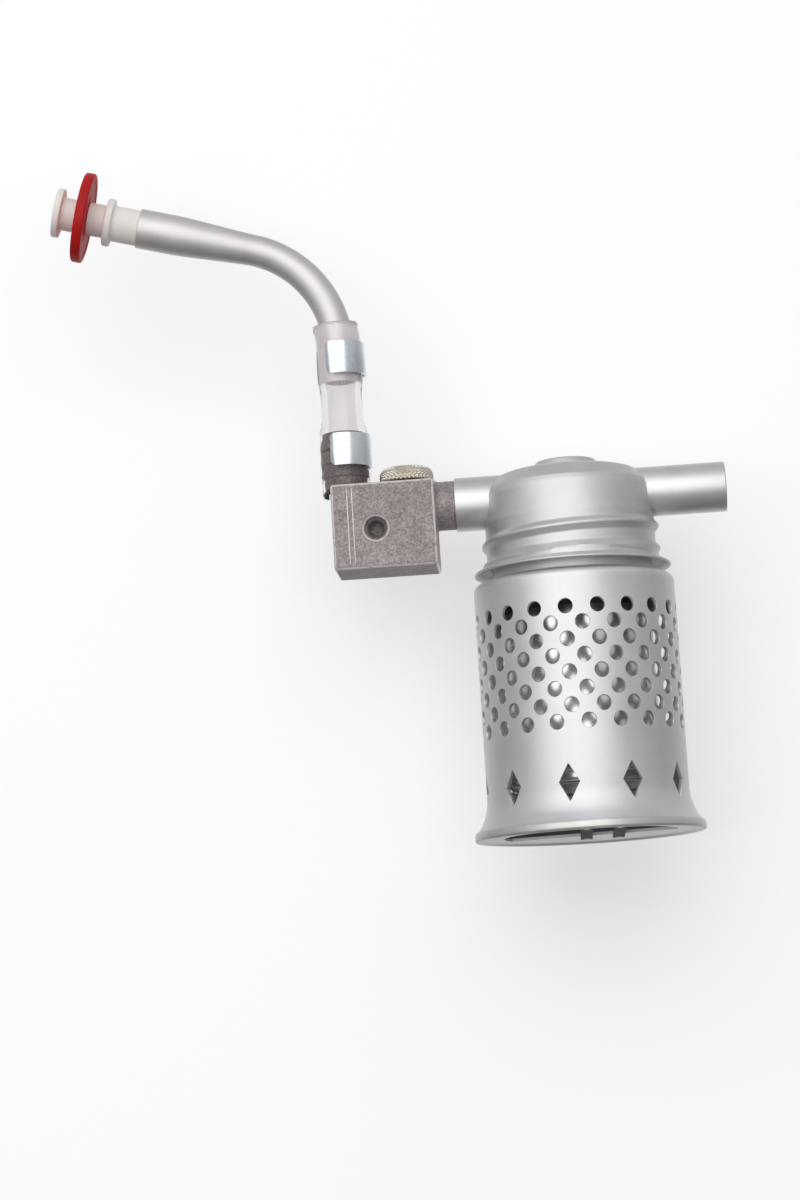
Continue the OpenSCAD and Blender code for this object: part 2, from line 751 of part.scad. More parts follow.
module stem_seal() {
    color([0.12, 0.12, 0.12])
    translate([valve_x, 0, 0])
        tube(gland_low, gland_low + 1.1, gland_r - seat_gap, stem_r + running_gap);
}

module valve_stem() {
    color([0.6, 0.6, 0.62])
    translate([valve_x, 0, 0])
    difference() {
        translate([0, 0, stem_low]) cylinder(r = stem_r, h = stem_top - stem_low);
        translate([0, 0, stem_low - cut])
            cylinder(r = needle_r + running_gap, h = needle_top - stem_low + cut + 0.1);
    }
}

module valve_needle() {
    tip_r = 1;
    color([0.75, 0.75, 0.78])
    translate([valve_x, 0, 0])
        rotate_extrude()
            polygon([[0, needle_top], [needle_r, needle_top], [needle_r, seat_z + 0.6],
                [tip_r, seat_z + 0.1], [0.3, seat_z - 1.6], [0, seat_z - 1.6]]);
}

module valve_knob() {
    top = knob_low + knob_h;
    shoulder = 2.6;
    flat_r = knob_r - 3;
    color([0.76, 0.73, 0.68])
    translate([valve_x, 0, 0])
    difference() {
        rotate_extrude()
            polygon(concat(
                [[0, stem_top], [stem_r + seat_gap, stem_top], [stem_r + seat_gap, knob_low],
                 [knob_r - 0.4, knob_low], [knob_r, knob_low + 0.4]],
                arc(knob_r - shoulder, top - shoulder, shoulder, 0, 70),
                [[flat_r, top], [0, top]]));
        for (k = [0 : knob_grooves - 1])
            rotate([0, 0, 360 * k / knob_grooves])
                translate([knob_r + 0.15, 0, knob_low - cut])
                    cylinder(r = 0.4, h = knob_h + 2 * cut, $fn = 16);
    }
}

// Each crest rises steeply and falls away towards the barb's end
module hose_barb() {
    crests = 3;
    first_crest_z = block_top + 0.75 * barb_pitch;
    rise = 0.4;
    color([0.4, 0.39, 0.38])
    translate([hose_x, 0, 0])
    rotate_extrude()
        polygon(concat([[barb_bore_r, barb_low], [barb_root_r, barb_low]],
            [for (k = [0 : crests - 1]) let (z = first_crest_z + k * barb_pitch)
                each [[barb_root_r, z], [barb_r, z + rise]]],
            [[barb_root_r, barb_top], [barb_bore_r, barb_top]]));
}

// A hollow stretch that follows the inlet tube's bend
module bent_stretch(r, bore, angle) {
    at_bend()
        rotate([90, 0, 0])
            rotate_extrude(angle = angle)
                translate([bend_r, 0])
                    difference() {
                        circle(r = r);
                        circle(r = bore);
                    }
}

// The hose fits over the barb below and over the start of the inlet tube's bend above
module gas_hose() {
    barb_in = barb_r + seat_gap;
    tube_in = inlet_r + seat_gap;
    color([0.82, 0.78, 0.78, 0.4])
    union() {
        translate([hose_x, 0, 0])
            rotate_extrude()
                polygon([[barb_in, hose_low], [barb_hose_r - 0.4, hose_low],
                    [barb_hose_r, hose_low + 0.4], [barb_hose_r, barb_top],
                    [hose_d / 2, barb_top + 3], [hose_d / 2, inlet_low - 1.5],
                    [tube_hose_r + lap_t, inlet_low + 1], [tube_hose_r + lap_t, bend_z + lap],
                    [tube_in - lap_t, bend_z + lap], [tube_in - lap_t, inlet_low - 0.3],
                    [hose_in_r, inlet_low - 1.5], [hose_in_r, barb_top + 2.5],
                    [barb_in, barb_top + 0.3]]);
        bent_stretch(tube_hose_r, tube_in, hose_bend);
    }
}

// A sprung band, open on the outer side, that leans with the hose
module clamp(z, r, lean = 0) {
    first = -90 - clamp_turn;
    translate([hose_x, 0, z + clamp_w / 2])
        rotate([0, -lean, 0])
            rotate([0, 0, first])
                translate([0, 0, -clamp_w / 2])
                    rotate_extrude(angle = 360 - clamp_open)
                        translate([r, 0]) square([clamp_wall, clamp_w]);
}

module lower_clamp() {
    color([0.82, 0.83, 0.85])
    clamp(lower_clamp_z, barb_hose_r + seat_gap);
}

module upper_clamp() {
    lean_gap = 0.15;
    color([0.82, 0.83, 0.85])
    clamp(upper_clamp_z, tube_hose_r + seat_gap + lean_gap, 1.5);
}

module inlet_tube() {
    color([0.83, 0.83, 0.85])
    union() {
        translate([hose_x, 0, 0])
            tube(inlet_low, bend_z + lap, inlet_r + lap_t, inlet_bore - lap_t);
        bent_stretch(inlet_r, inlet_bore, bend_angle);
        at_inlet_mouth()
            rotate_extrude()
                polygon([[inlet_bore - lap_t, -inlet_run - lap], [inlet_r + lap_t, -inlet_run - lap],
                    [mouth_r, -mouth_l], [mouth_r, -0.2], [mouth_r - 0.2, 0], [mouth_bore, 0],
                    [mouth_bore, -mouth_l - 1.5]]);
    }
}

// A disc of gauze in the inlet tube, held where the bore narrows
module inlet_filter() {
    r = inlet_bore - seat_gap;
    color([0.6, 0.6, 0.6])
    translate([hose_x, 0, inlet_low])
    difference() {
        cylinder(r = r, h = 1);
        for (i = [-3 : 3], j = [-3 : 3])
            if (norm([i, j]) < 3.2)
                translate([i * 0.9, j * 0.9, -cut]) cylinder(d = 0.5, h = 3, $fn = 16);
    }
}

// Places along the nipple's axis, counted from the inlet tube's mouth
seal_at = [-8.4, -4.4];
seal_t = 1.5;
seal_r = nipple_r - 1;
collar_at = collar_from_end;
flange_at = collar_at + flange_t + neck_l;
disc_at = collar_at + flange_t + (neck_l - disc_t) / 2;

module inlet_nipple() {
    neck_r = nipple_neck_d / 2;
    groove_rim_r = nipple_r - 0.2;
    edge = 0.4;
    color([0.93, 0.89, 0.85])
    at_inlet_mouth()
    rotate_extrude()
        polygon([[nipple_bore_d / 2, -nipple_in], [nipple_r - 2 * edge, -nipple_in],
            [groove_rim_r, -nipple_in + 1], [groove_rim_r, seal_at[0]],
            [seal_r, seal_at[0]], [seal_r, seal_at[0] + seal_t],
            [groove_rim_r, seal_at[0] + seal_t], [groove_rim_r, seal_at[1]],
            [seal_r, seal_at[1]], [seal_r, seal_at[1] + seal_t],
            [nipple_r, seal_at[1] + seal_t], [nipple_r, collar_at],
            [collar_d / 2 - edge, collar_at], [collar_d / 2, collar_at + edge],
            [collar_d / 2, collar_at + flange_t - edge],
            [collar_d / 2 - edge, collar_at + flange_t], [neck_r, collar_at + flange_t],
            [neck_r, flange_at], [nipple_flange_d / 2 - edge, flange_at],
            [nipple_flange_d / 2, flange_at + edge],
            [nipple_flange_d / 2, flange_at + flange_t - edge],
            [nipple_flange_d / 2 - edge, flange_at + flange_t],
            [nipple_bore_d / 2, flange_at + flange_t]]);
}

module nipple_seals() {
    color([0.15, 0.15, 0.15])
    at_inlet_mouth()
        for (at = seal_at)
            tube(at + 0.1, at + seal_t - 0.1, nipple_r, seal_r + 0.02);
}

module grip_disc() {
    edge = 0.8;
    color([0.62, 0.1, 0.12])
    at_inlet_mouth()
        rotate_extrude()
            polygon(concat(
                [[nipple_neck_d / 2 + 0.02, disc_at + disc_t], [nipple_neck_d / 2 + 0.02, disc_at]],
                arc(disc_d / 2 - edge, disc_at + edge, edge, -90, 0),
                arc(disc_d / 2 - edge, disc_at + disc_t - edge, edge, 0, 90)));
}

guard_can();
base_plate();
window_straps();
strap_rivets();
flame_tube();
tube_hanger();
cap_gasket();
screw_cap();
mixing_tube();
outlet_tube();
burner_body();
feed_pipe();
burner_head();
flame_gauze();
gauze_ring();
valve_block();
test_screw();
channel_plug();
injector_jet();
valve_gland();
stem_seal();
valve_stem();
valve_needle();
valve_knob();
hose_barb();
gas_hose();
lower_clamp();
upper_clamp();
inlet_tube();
inlet_filter();
inlet_nipple();
nipple_seals();
grip_disc();
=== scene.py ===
"""Dresses the gas burner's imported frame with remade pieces, finishes, a stage and a camera."""

import json
import math

import bmesh
import bpy
from mathutils import Matrix, Vector, noise


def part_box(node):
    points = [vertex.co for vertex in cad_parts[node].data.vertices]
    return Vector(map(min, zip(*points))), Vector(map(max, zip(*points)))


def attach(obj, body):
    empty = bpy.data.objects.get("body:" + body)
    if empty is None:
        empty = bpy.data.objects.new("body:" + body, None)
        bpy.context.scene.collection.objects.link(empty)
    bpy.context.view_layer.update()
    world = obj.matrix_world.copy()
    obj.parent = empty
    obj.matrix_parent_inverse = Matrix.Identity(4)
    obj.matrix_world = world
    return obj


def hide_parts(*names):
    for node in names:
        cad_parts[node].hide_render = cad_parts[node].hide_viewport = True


bl_info = {
    "name": "Gas Burner",
    "version": (1, 0, 0),
    "blender": (4, 5, 0),
    "location": "View3D > Sidebar > Burner",
    "description": "Builds the visible pieces of a gas burner with a perforated guard can",
    "category": "Object",
}

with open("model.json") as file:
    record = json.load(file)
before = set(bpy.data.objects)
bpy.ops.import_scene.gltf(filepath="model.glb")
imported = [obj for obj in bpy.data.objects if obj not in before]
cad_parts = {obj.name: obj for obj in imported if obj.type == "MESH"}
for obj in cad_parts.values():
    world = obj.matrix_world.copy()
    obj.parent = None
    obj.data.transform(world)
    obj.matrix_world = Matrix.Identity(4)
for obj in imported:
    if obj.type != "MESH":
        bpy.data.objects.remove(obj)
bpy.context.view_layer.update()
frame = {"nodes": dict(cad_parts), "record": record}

MM = 0.001
SAME_PLACE = 1e-7
GRAIN_DEPTH = 0.00003


def middle(box, axis):
    """Centre of a box along one axis."""
    return (box[0][axis] + box[1][axis]) / 2


def half_size(box, axis):
    """Half of a box's size along one axis."""
    return (box[1][axis] - box[0][axis]) / 2


# The frame's own places, in metres
CAP_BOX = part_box("screw_cap")
BLOCK_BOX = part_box("valve_block")
HOSE_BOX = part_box("gas_hose")
BARB_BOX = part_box("hose_barb")
KNOB_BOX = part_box("valve_knob")
FLAME_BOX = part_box("flame_tube")
MIX_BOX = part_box("mixing_tube")
OUTLET_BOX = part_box("outlet_tube")
AXIS_Z = middle(OUTLET_BOX, 2)
FOOT_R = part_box("base_plate")[1][0]
HOSE_X = middle(BARB_BOX, 0)
KNOB_X = middle(KNOB_BOX, 0)
BLOCK_TOP = KNOB_BOX[0][2] - 0.6 * MM
BLOCK_RIGHT = BLOCK_BOX[0][0] + 29 * MM


# ---------------------------------------------------------------- settings


def length_setting(name, description, millimetres):
    return bpy.props.FloatProperty(
        name=name, description=description, default=millimetres * MM, unit="LENGTH")


def angle_setting(name, description, degrees):
    return bpy.props.FloatProperty(
        name=name, description=description, default=math.radians(degrees), unit="ROTATION")


def count_setting(name, description, number):
    return bpy.props.IntProperty(name=name, description=description, default=number)


def colour_setting(name, description, values):
    return bpy.props.FloatVectorProperty(
        name=name, description=description, default=values, subtype="COLOR", size=3)


class BurnerCanSettings(bpy.types.PropertyGroup):
    radius: length_setting("Radius", "Outside radius of the guard can", 28)
    wall: length_setting("Wall", "Sheet thickness of the guard can", 1)
    height: length_setting("Height", "Height of the can's shoulder", 71.8)
    corner: length_setting("Corner", "Radius of the shoulder's corner", 2.5)
    neck_radius: length_setting("Neck", "Outside radius of the neck", 22.35)
    neck_top: length_setting("Neck top", "Height of the neck's edge", 86.5)
    hole_radius: length_setting("Hole", "Radius of a round hole", 2.02)
    rows: count_setting("Rows", "Rows of round holes", 8)
    per_row: count_setting("Holes", "Round holes in a row", 20)
    row_pitch: length_setting("Row pitch", "Distance between rows", 4.47)
    top_row: length_setting("Top row", "Height of the top row", 60.8)
    hole_phase: angle_setting("Hole phase", "Angle of the first hole from the front", -5.8)
    diamonds: count_setting("Diamonds", "Diamond holes round the can", 10)
    diamond_width: length_setting("Diamond width", "Width of a diamond hole", 5.8)
    diamond_height: length_setting("Diamond height", "Height of a diamond hole", 10)
    diamond_z: length_setting("Diamond place", "Height of the diamonds' centres", 13.2)
    diamond_phase: angle_setting(
        "Diamond phase", "Angle of the first diamond from the front", -10.1)


class BurnerCapSettings(bpy.types.PropertyGroup):
    skirt_radius: length_setting("Skirt", "Radius of the skirt between the thread's turns", 23.7)
    body_radius: length_setting("Body", "Radius above the thread", 23.25)
    rim_radius: length_setting("Rim", "Radius of the flared rim", 27.5)
    wall: length_setting("Wall", "Sheet thickness of the cap", 1)
    pitch: length_setting("Pitch", "Lead of the rolled thread", 6.4)
    thread_height: length_setting("Thread height", "Height of the rolled thread", 1.2)
    thread_z: length_setting("Thread place", "Height of the crest at the outlet side", 85.5)
    top_radius: length_setting("Flat top", "Radius of the flat top", 16.5)
    dome_radius: length_setting("Dome", "Radius of the dome's foot", 11)


class BurnerInletSettings(bpy.types.PropertyGroup):
    bend_radius: length_setting("Bend radius", "Radius of the inlet tube's bend", 30.6)
    bend_angle: angle_setting("Bend", "Angle of the inlet tube's bend", 75.9)
    bend_z: length_setting("Bend start", "Height of the bend's start", 143.1)
    run: length_setting("Run", "Length beyond the bend", 32.7)
    turn: angle_setting("Turn", "Turn of the bend's plane towards the front", 5.5)
    radius: length_setting("Radius", "Outside radius in the hose", 4.45)
    mouth_radius: length_setting("Mouth radius", "Outside radius at the free end", 5.65)
    mouth_length: length_setting("Mouth length", "Length of the wide stretch", 11)


class BurnerFinishSettings(bpy.types.PropertyGroup):
    aluminium: colour_setting("Aluminium", "Colour of the drawn sheet", (0.84, 0.84, 0.86))
    cap: colour_setting("Cap", "Colour of the cap's sheet", (0.80, 0.79, 0.80))
    zinc: colour_setting("Zinc", "Colour of the cast block", (0.44, 0.38, 0.37))
    vinyl: colour_setting("Hose", "Tint of the clear hose", (0.85, 0.826, 0.842))
    nylon: colour_setting("Nylon", "Colour of the nipple", (0.97, 0.91, 0.86))
    red: colour_setting("Disc", "Colour of the grip disc", (0.56, 0.004, 0.004))


class BurnerStageSettings(bpy.types.PropertyGroup):
    lens: bpy.props.FloatProperty(
        name="Lens", description="Focal length on a 36 mm sensor", default=92.74)
    distance: length_setting("Distance", "Camera's distance from the base's centre", 854)
    yaw: angle_setting("Yaw", "Camera's turn about the can's axis", -2.99)
    rise: angle_setting("Rise", "Angle at which the camera looks up", 8.405)
    roll: angle_setting("Roll", "Camera's turn about its own axis", 3.495)
    aside: bpy.props.FloatVectorProperty(
        name="Aside", description="Place of the base's centre in the camera's view, right and down",
        default=(52.8 * MM, 65.32 * MM), size=2, subtype="TRANSLATION")


# ---------------------------------------------------------------- mesh tools


def near(x, y, offsets):
    """Points round a place in a profile's plane, given in millimetres from it."""
    return [(x + dx * MM, y + dy * MM) for dx, dy in offsets]


def arc(cx, cz, r, start, end, steps=6):
    """Points on an arc in a profile's plane, angles in degrees."""
    turn = [math.radians(start + (end - start) * i / steps) for i in range(steps + 1)]
    return [(cx + r * math.cos(a), cz + r * math.sin(a)) for a in turn]


def rounded(points, radius, steps=3, closed=True):
    """Rounds a profile's corners. Radius is one value, or one for each point."""
    count = len(points)
    radii = list(radius) if hasattr(radius, "__len__") else [radius] * count
    out = []
    for i, p in enumerate(points):
        here = Vector(p)
        r = radii[i]
        if r <= 0 or (not closed and i in (0, count - 1)):
            out.append(tuple(here))
            continue
        back = Vector(points[i - 1]) - here
        on = Vector(points[(i + 1) % count]) - here
        angle = back.angle(on, math.pi)
        if angle > math.radians(175):
            out.append(tuple(here))
            continue
        reach = min(r / math.tan(angle / 2), 0.45 * back.length, 0.45 * on.length)
        a = here + back.normalized() * reach
        b = here + on.normalized() * reach
        for k in range(steps + 1):
            t = k / steps
            out.append(tuple(a * (1 - t) ** 2 + here * 2 * t * (1 - t) + b * t ** 2))
    return out


def linked(name, data):
    """Adds an object to the scene."""
    obj = bpy.data.objects.new(name, data)
    bpy.context.scene.collection.objects.link(obj)
    return obj


def shade(bm, sharp):
    """Shades a mesh smooth, except across edges that turn more than sharp degrees."""
    limit = math.radians(sharp)
    for face in bm.faces:
        face.smooth = True
    for edge in bm.edges:
        edge.smooth = not (len(edge.link_faces) == 2 and edge.calc_face_angle(0) > limit)


def new_object(name, bm, sharp=35.0):
    """Turns a bmesh into a smooth-shaded object whose hard edges stay hard."""
    bmesh.ops.remove_doubles(bm, verts=bm.verts, dist=SAME_PLACE)
    bmesh.ops.recalc_face_normals(bm, faces=bm.faces)
    shade(bm, sharp)
    mesh = bpy.data.meshes.new(name)
    bm.to_mesh(mesh)
    bm.free()
    return linked(name, mesh)


def grid_solid(rows, columns, point, wrap_columns=True):
    """A solid of quads over point(row, column): a ring of rows, closed along or capped."""
    bm = bmesh.new()
    verts = [[bm.verts.new(point(i, j)) for j in range(columns)] for i in range(rows)]
    for i in range(rows):
        for j in range(columns if wrap_columns else columns - 1):
            a, b = (i + 1) % rows, (j + 1) % columns
            bm.faces.new((verts[i][j], verts[i][b], verts[a][b], verts[a][j]))
    if not wrap_columns:
        bm.faces.new([row[0] for row in verts])
        bm.faces.new([row[-1] for row in reversed(verts)])
    return bm


def add_loft(bm, rings):
    """Adds a closed solid over rings of points."""
    rings = [[bm.verts.new(point) for point in ring] for ring in rings]
    count = len(rings[0])
    for a, b in zip(rings, rings[1:]):
        for k in range(count):
            bm.faces.new((a[k], a[(k + 1) % count], b[(k + 1) % count], b[k]))
    bm.faces.new(list(reversed(rings[0])))
    bm.faces.new(rings[-1])


def eased_box(centre, size, ease, steps):
    """A box with rounded edges, and its rounded faces."""
    bm = bmesh.new()
    bmesh.ops.create_cube(bm, size=1.0)
    place = Matrix.Translation(centre) @ Matrix.Diagonal((*size, 1))
    bmesh.ops.transform(bm, matrix=place, verts=bm.verts)
    bevel = bmesh.ops.bevel(
        bm, geom=bm.edges[:], offset=ease, segments=steps, affect="EDGES", profile=0.5)
    return bm, set(bevel["faces"])


def lathe(name, profile, columns=128, place=None, shape=None, sharp=35.0):
    """Turns a closed profile of (radius, height) points about Z. shape may move a point."""
    def point(i, j):
        r, z = profile[i]
        turn = math.tau * j / columns
        if shape:
            r, z = shape(r, z, turn)
        return Vector((r * math.cos(turn), r * math.sin(turn), z))

    bm = grid_solid(len(profile), columns, point)
    if place:
        bmesh.ops.transform(bm, matrix=place, verts=bm.verts)
    return new_object(name, bm, sharp)


def cut_out(obj, cutter, sharp=35.0):
    """Cuts one mesh out of another and marks the hard edges again."""
    cut = obj.modifiers.new("cut", "BOOLEAN")
    cut.operation = "DIFFERENCE"
    cut.solver = "EXACT"
    cut.object = cutter
    bpy.context.view_layer.update()
    mesh = bpy.data.meshes.new_from_object(obj.evaluated_get(bpy.context.evaluated_depsgraph_get()))
    obj.modifiers.clear()
    bm = bmesh.new()
    bm.from_mesh(mesh)
    bpy.data.meshes.remove(mesh)
    bpy.data.objects.remove(cutter)
    bmesh.ops.dissolve_degenerate(bm, edges=bm.edges, dist=SAME_PLACE)
    shade(bm, sharp)
    bm.to_mesh(obj.data)
    bm.free()


def joined(name, parts):
    """Makes one object of several."""
    bm = bmesh.new()
    for part in parts:
        bm.from_mesh(part.data)
    mesh = bpy.data.meshes.new(name)
    bm.to_mesh(mesh)
    bm.free()
    for part in parts:
        bpy.data.objects.remove(part)
    return linked(name, mesh)


def dress(obj, node, finish_name):
    """Puts a remade piece in place of its frame node, with the node's body and the named finish."""
    record = frame["record"]
    obj.data.materials.clear()
    obj.data.materials.append(finish(finish_name))
    body = next(b for b, nodes in record["behaviour"]["bodies"].items() if node in nodes)
    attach(obj, body)
    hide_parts(node)


def along_x(mirrored):
    """Lays a piece that is drawn along Z along X, or along -X."""
    turn = math.radians(-90 if mirrored else 90)
    return Matrix.Translation((0, 0, AXIS_Z)) @ Matrix.Rotation(turn, 4, "Y")


def facing_front(x, z):
    """Lays a piece that is drawn along Z towards the front, at a place on the block's face."""
    return Matrix.Translation((x, 0, z)) @ Matrix.Rotation(math.radians(90), 4, "X")


def mouth_length():
    """Length of the hose's and the inlet tube's axis up to the free end."""
    inlet = bpy.context.scene.burner_inlet
    return inlet.bend_z + inlet.bend_radius * inlet.bend_angle + inlet.run


def inlet_path(s):
    """Place on the hose's and the inlet tube's axis, at a length s from the floor.

    The place's Z follows the axis, and its X lies in the bend's plane.
    """
    inlet = bpy.context.scene.burner_inlet
    bend = inlet.bend_radius
    turn = min(inlet.bend_angle, max(0.0, (s - inlet.bend_z) / bend))
    beyond = s - inlet.bend_z - bend * turn
    upright = Matrix.Translation((HOSE_X, 0, 0)) @ Matrix.Rotation(inlet.turn, 4, "Z")
    bent = Matrix.Translation(
        (-bend + bend * math.cos(turn), 0, inlet.bend_z + bend * math.sin(turn)))
    return upright @ bent @ Matrix.Rotation(-turn, 4, "Y") @ Matrix.Translation((0, 0, beyond))


def swept(name, rings, columns, shape=None):
    """A closed loop of rings (length, radius) along the inlet path. shape may move a point."""
    frames = [inlet_path(s) for s, r in rings]

    def point(i, j):
        s, r = rings[i]
        turn = math.tau * j / columns
        z = 0.0
        if shape:
            r, z = shape(s, r, turn)
        return frames[i] @ Vector((r * math.cos(turn), r * math.sin(turn), z))

    return new_object(name, grid_solid(len(rings), columns, point))


def filled(points, step):
    """Adds points along a profile's long stretches."""
    out = []
    for (x0, y0), (x1, y1) in zip(points, points[1:]):
        parts = max(1, math.ceil(math.hypot(x1 - x0, y1 - y0) / step))
        out += [(x0 + (x1 - x0) * k / parts, y0 + (y1 - y0) * k / parts) for k in range(parts)]
    return out + [points[-1]]


# ---------------------------------------------------------------- finishes


class Nodes:
    """A short way to write a node tree."""

    def __init__(self, tree):
        self.tree = tree

    def feed(self, socket, value):
        """Links a node's output to an input, or sets the input's value."""
        if isinstance(value, bpy.types.NodeSocket):
            self.tree.links.new(value, socket)
        elif socket.type == "RGBA":
            colour = value if hasattr(value, "__len__") else (value, value, value)
            socket.default_value = (*colour, 1.0)
        else:
            socket.default_value = value

    def node(self, kind, **values):
        """Adds a node. A value goes to the input of that name, or else to the setting."""
        made = self.tree.nodes.new(kind)
        for key, value in values.items():
            socket = key.replace("_", " ")
            if socket in made.inputs:
                self.feed(made.inputs[socket], value)
            else:
                setattr(made, key, value)
        return made

    def join(self, kind, *values, **settings):
        """Adds a node and fills its inputs in their order."""
        made = self.node(kind, **settings)
        for socket, value in zip(made.inputs, values):
            self.feed(socket, value)
        return made.outputs[0]

    def maths(self, operation, a, b):
        return self.join("ShaderNodeMath", a, b, operation=operation)

    def ramp(self, factor, stops):
        made = self.node("ShaderNodeValToRGB", Fac=factor)
        ramp = made.color_ramp
        while len(ramp.elements) < len(stops):
            ramp.elements.new(0.5)
        for element, (place, colour) in zip(ramp.elements, stops):
            element.position = place
            colour = colour if hasattr(colour, "__len__") else (colour, colour, colour)
            element.color = (*colour, 1.0)
        return made.outputs["Color"]

    def mix(self, factor, a, b, blend="MIX"):
        made = self.node("ShaderNodeMix", data_type="RGBA", blend_type=blend)
        for index, value in ((0, factor), (6, a), (7, b)):
            self.feed(made.inputs[index], value)
        return made.outputs[2]


class Surface(Nodes):
    """A material's nodes, in its object's own coordinates."""

    def __init__(self, name):
        self.material = bpy.data.materials.new(name)
        self.material.use_nodes = True
        super().__init__(self.material.node_tree)
        self.shader = self.tree.nodes["Principled BSDF"]
        self.coords = self.node("ShaderNodeTexCoord").outputs["Object"]

    def stretched(self, scale):
        return self.node("ShaderNodeMapping", Scale=scale, Vector=self.coords).outputs["Vector"]

    def noise(self, scale, detail=4.0, roughness=0.6, vector=None):
        return self.node("ShaderNodeTexNoise", Scale=scale, Detail=detail, Roughness=roughness,
                         Vector=vector or self.coords).outputs["Fac"]

    def bump(self, height, strength, distance, base=None):
        made = self.node("ShaderNodeBump", Strength=strength, Distance=distance, Height=height)
        if base:
            self.feed(made.inputs["Normal"], base)
        return made.outputs["Normal"]

    def surface(self, **values):
        for key, value in values.items():
            self.feed(self.shader.inputs[key.replace("_", " ")], value)
        return self.material


def scaled(colour, factor):
    return tuple(min(1.0, c * factor) for c in colour)


def drawn_metal(name, colour, roughness, stain=0.12, lines=(40, 40, 2600)):
    """Satin sheet or tube: fine lines of drawing, faint cloudy stains and small scratches."""
    n = Surface(name)
    clouds = n.noise(55.0, 5.0, 0.62)
    fine = n.noise(1.0, 3.0, 0.7, n.stretched(lines))
    grain = n.noise(5200.0, 2.0, 0.6)
    tint = n.ramp(clouds, [(0.3, scaled(colour, 1 - stain)), (0.62, colour)])
    tint = n.mix(0.10, tint, n.ramp(fine, [(0.25, 0.55), (0.75, 1.0)]), "MULTIPLY")
    rough = n.ramp(n.maths("ADD", n.maths("MULTIPLY", fine, 0.5), n.maths("MULTIPLY", clouds, 0.5)),
                   [(0.3, roughness - 0.05), (0.7, roughness + 0.09)])
    normal = n.bump(fine, 0.10, GRAIN_DEPTH, n.bump(grain, 0.06, 0.00002))
    return n.surface(Base_Color=tint, Metallic=1.0, Roughness=rough, Normal=normal)


def cast_zinc(name, colour):
    """Die-cast zinc: mottled grey-brown skin with a fine grain, and a pale painted highlight on
    marked edges.
    """
    n = Surface(name)
    mottle = n.noise(1500.0, 4.0, 0.65)
    grain = n.noise(2600.0, 3.0, 0.7)
    patch = n.noise(160.0, 4.0, 0.6)
    dark, light = scaled(colour, 0.6), scaled(colour, 1.45)
    tint = n.ramp(mottle, [(0.32, dark), (0.5, colour), (0.68, light)])
    tint = n.mix(0.5, tint, n.ramp(grain, [(0.35, 0.4), (0.65, 1.0)]), "MULTIPLY")
    tint = n.mix(0.7, tint, n.ramp(patch, [(0.36, 0.65), (0.62, 1.0)]), "MULTIPLY")
    # Painted highlight: the marked edges, port lip and casting lines get a pale colour and a
    # smoother skin
    worn = n.node("ShaderNodeAttribute", attribute_name="worn").outputs["Fac"]
    break_up = n.noise(900.0, 4.0, 0.7)
    highlight_mask = n.ramp(n.maths("MULTIPLY", worn, n.maths("ADD", break_up, 0.42)),
                  [(0.60, 0.0), (0.92, 1.0)])
    tint = n.mix(highlight_mask, tint, (0.80, 0.75, 0.73))
    rough = n.mix(highlight_mask, n.ramp(grain, [(0.3, 0.42), (0.7, 0.62)]), 0.3)
    normal = n.bump(grain, 0.35, 0.00006, n.bump(mottle, 0.25, 0.00008))
    return n.surface(Base_Color=tint, Metallic=0.25, Roughness=rough, Normal=normal)


def plated_steel(name, colour, roughness, lines=(2200, 2200, 60)):
    """Bright plated strip: faint lines, a few dull spots."""
    n = Surface(name)
    fine = n.noise(1.0, 3.0, 0.6, n.stretched(lines))
    spots = n.noise(240.0, 4.0, 0.7)
    tint = n.ramp(spots, [(0.25, scaled(colour, 0.82)), (0.55, colour)])
    rough = n.ramp(n.maths("ADD", n.maths("MULTIPLY", fine, 0.4), n.maths("MULTIPLY", spots, 0.6)),
                   [(0.3, roughness), (0.75, roughness + 0.14)])
    normal = n.bump(fine, 0.12, GRAIN_DEPTH)
    return n.surface(Base_Color=tint, Metallic=1.0, Roughness=rough, Normal=normal)


def turned_brass(name, colour):
    """Turned brass: fine rings and a few dull clouds."""
    n = Surface(name)
    clouds = n.noise(220.0, 5.0, 0.6)
    rings = n.noise(1.0, 2.0, 0.6, n.stretched((80, 80, 4200)))
    tint = n.ramp(clouds, [(0.3, scaled(colour, 0.7)), (0.6, colour)])
    rough = n.ramp(clouds, [(0.3, 0.38), (0.7, 0.26)])
    return n.surface(Base_Color=tint, Metallic=1.0, Roughness=rough,
                     Normal=n.bump(rings, 0.2, GRAIN_DEPTH))


def moulded(name, colour, roughness, variation=0.92, scatter=0.0):
    """Moulded plastic or rubber: a soft sheen with a faint grain and slow clouds."""
    n = Surface(name)
    clouds = n.noise(140.0, 4.0, 0.6)
    grain = n.noise(3800.0, 3.0, 0.6)
    tint = n.ramp(clouds, [(0.3, scaled(colour, variation)), (0.65, colour)])
    rough = n.ramp(grain, [(0.3, roughness - 0.04), (0.7, roughness + 0.08)])
    normal = n.bump(grain, 0.15, GRAIN_DEPTH, n.bump(clouds, 0.08, 0.0002))
    if scatter:
        n.surface(Subsurface_Weight=scatter, Subsurface_Radius=(0.9, 0.55, 0.4),
                  Subsurface_Scale=0.0022)
    return n.surface(Base_Color=tint, Roughness=rough, Normal=normal, Specular_IOR_Level=0.3)


def clear_vinyl(name, colour):
    """Clear soft hose: cloudy, faintly tinted, with long extrusion lines."""
    n = Surface(name)
    lines = n.noise(1.0, 3.0, 0.6, n.stretched((1500, 1500, 25)))
    haze = n.noise(160.0, 4.0, 0.6)
    tint = n.ramp(haze, [(0.3, scaled(colour, 0.94)), (0.7, colour)])
    rough = n.ramp(haze, [(0.3, 0.05), (0.7, 0.10)])
    normal = n.bump(lines, 0.10, GRAIN_DEPTH)
    return n.surface(Base_Color=tint, Roughness=rough, Normal=normal, Transmission_Weight=1.0,
                     IOR=1.36)


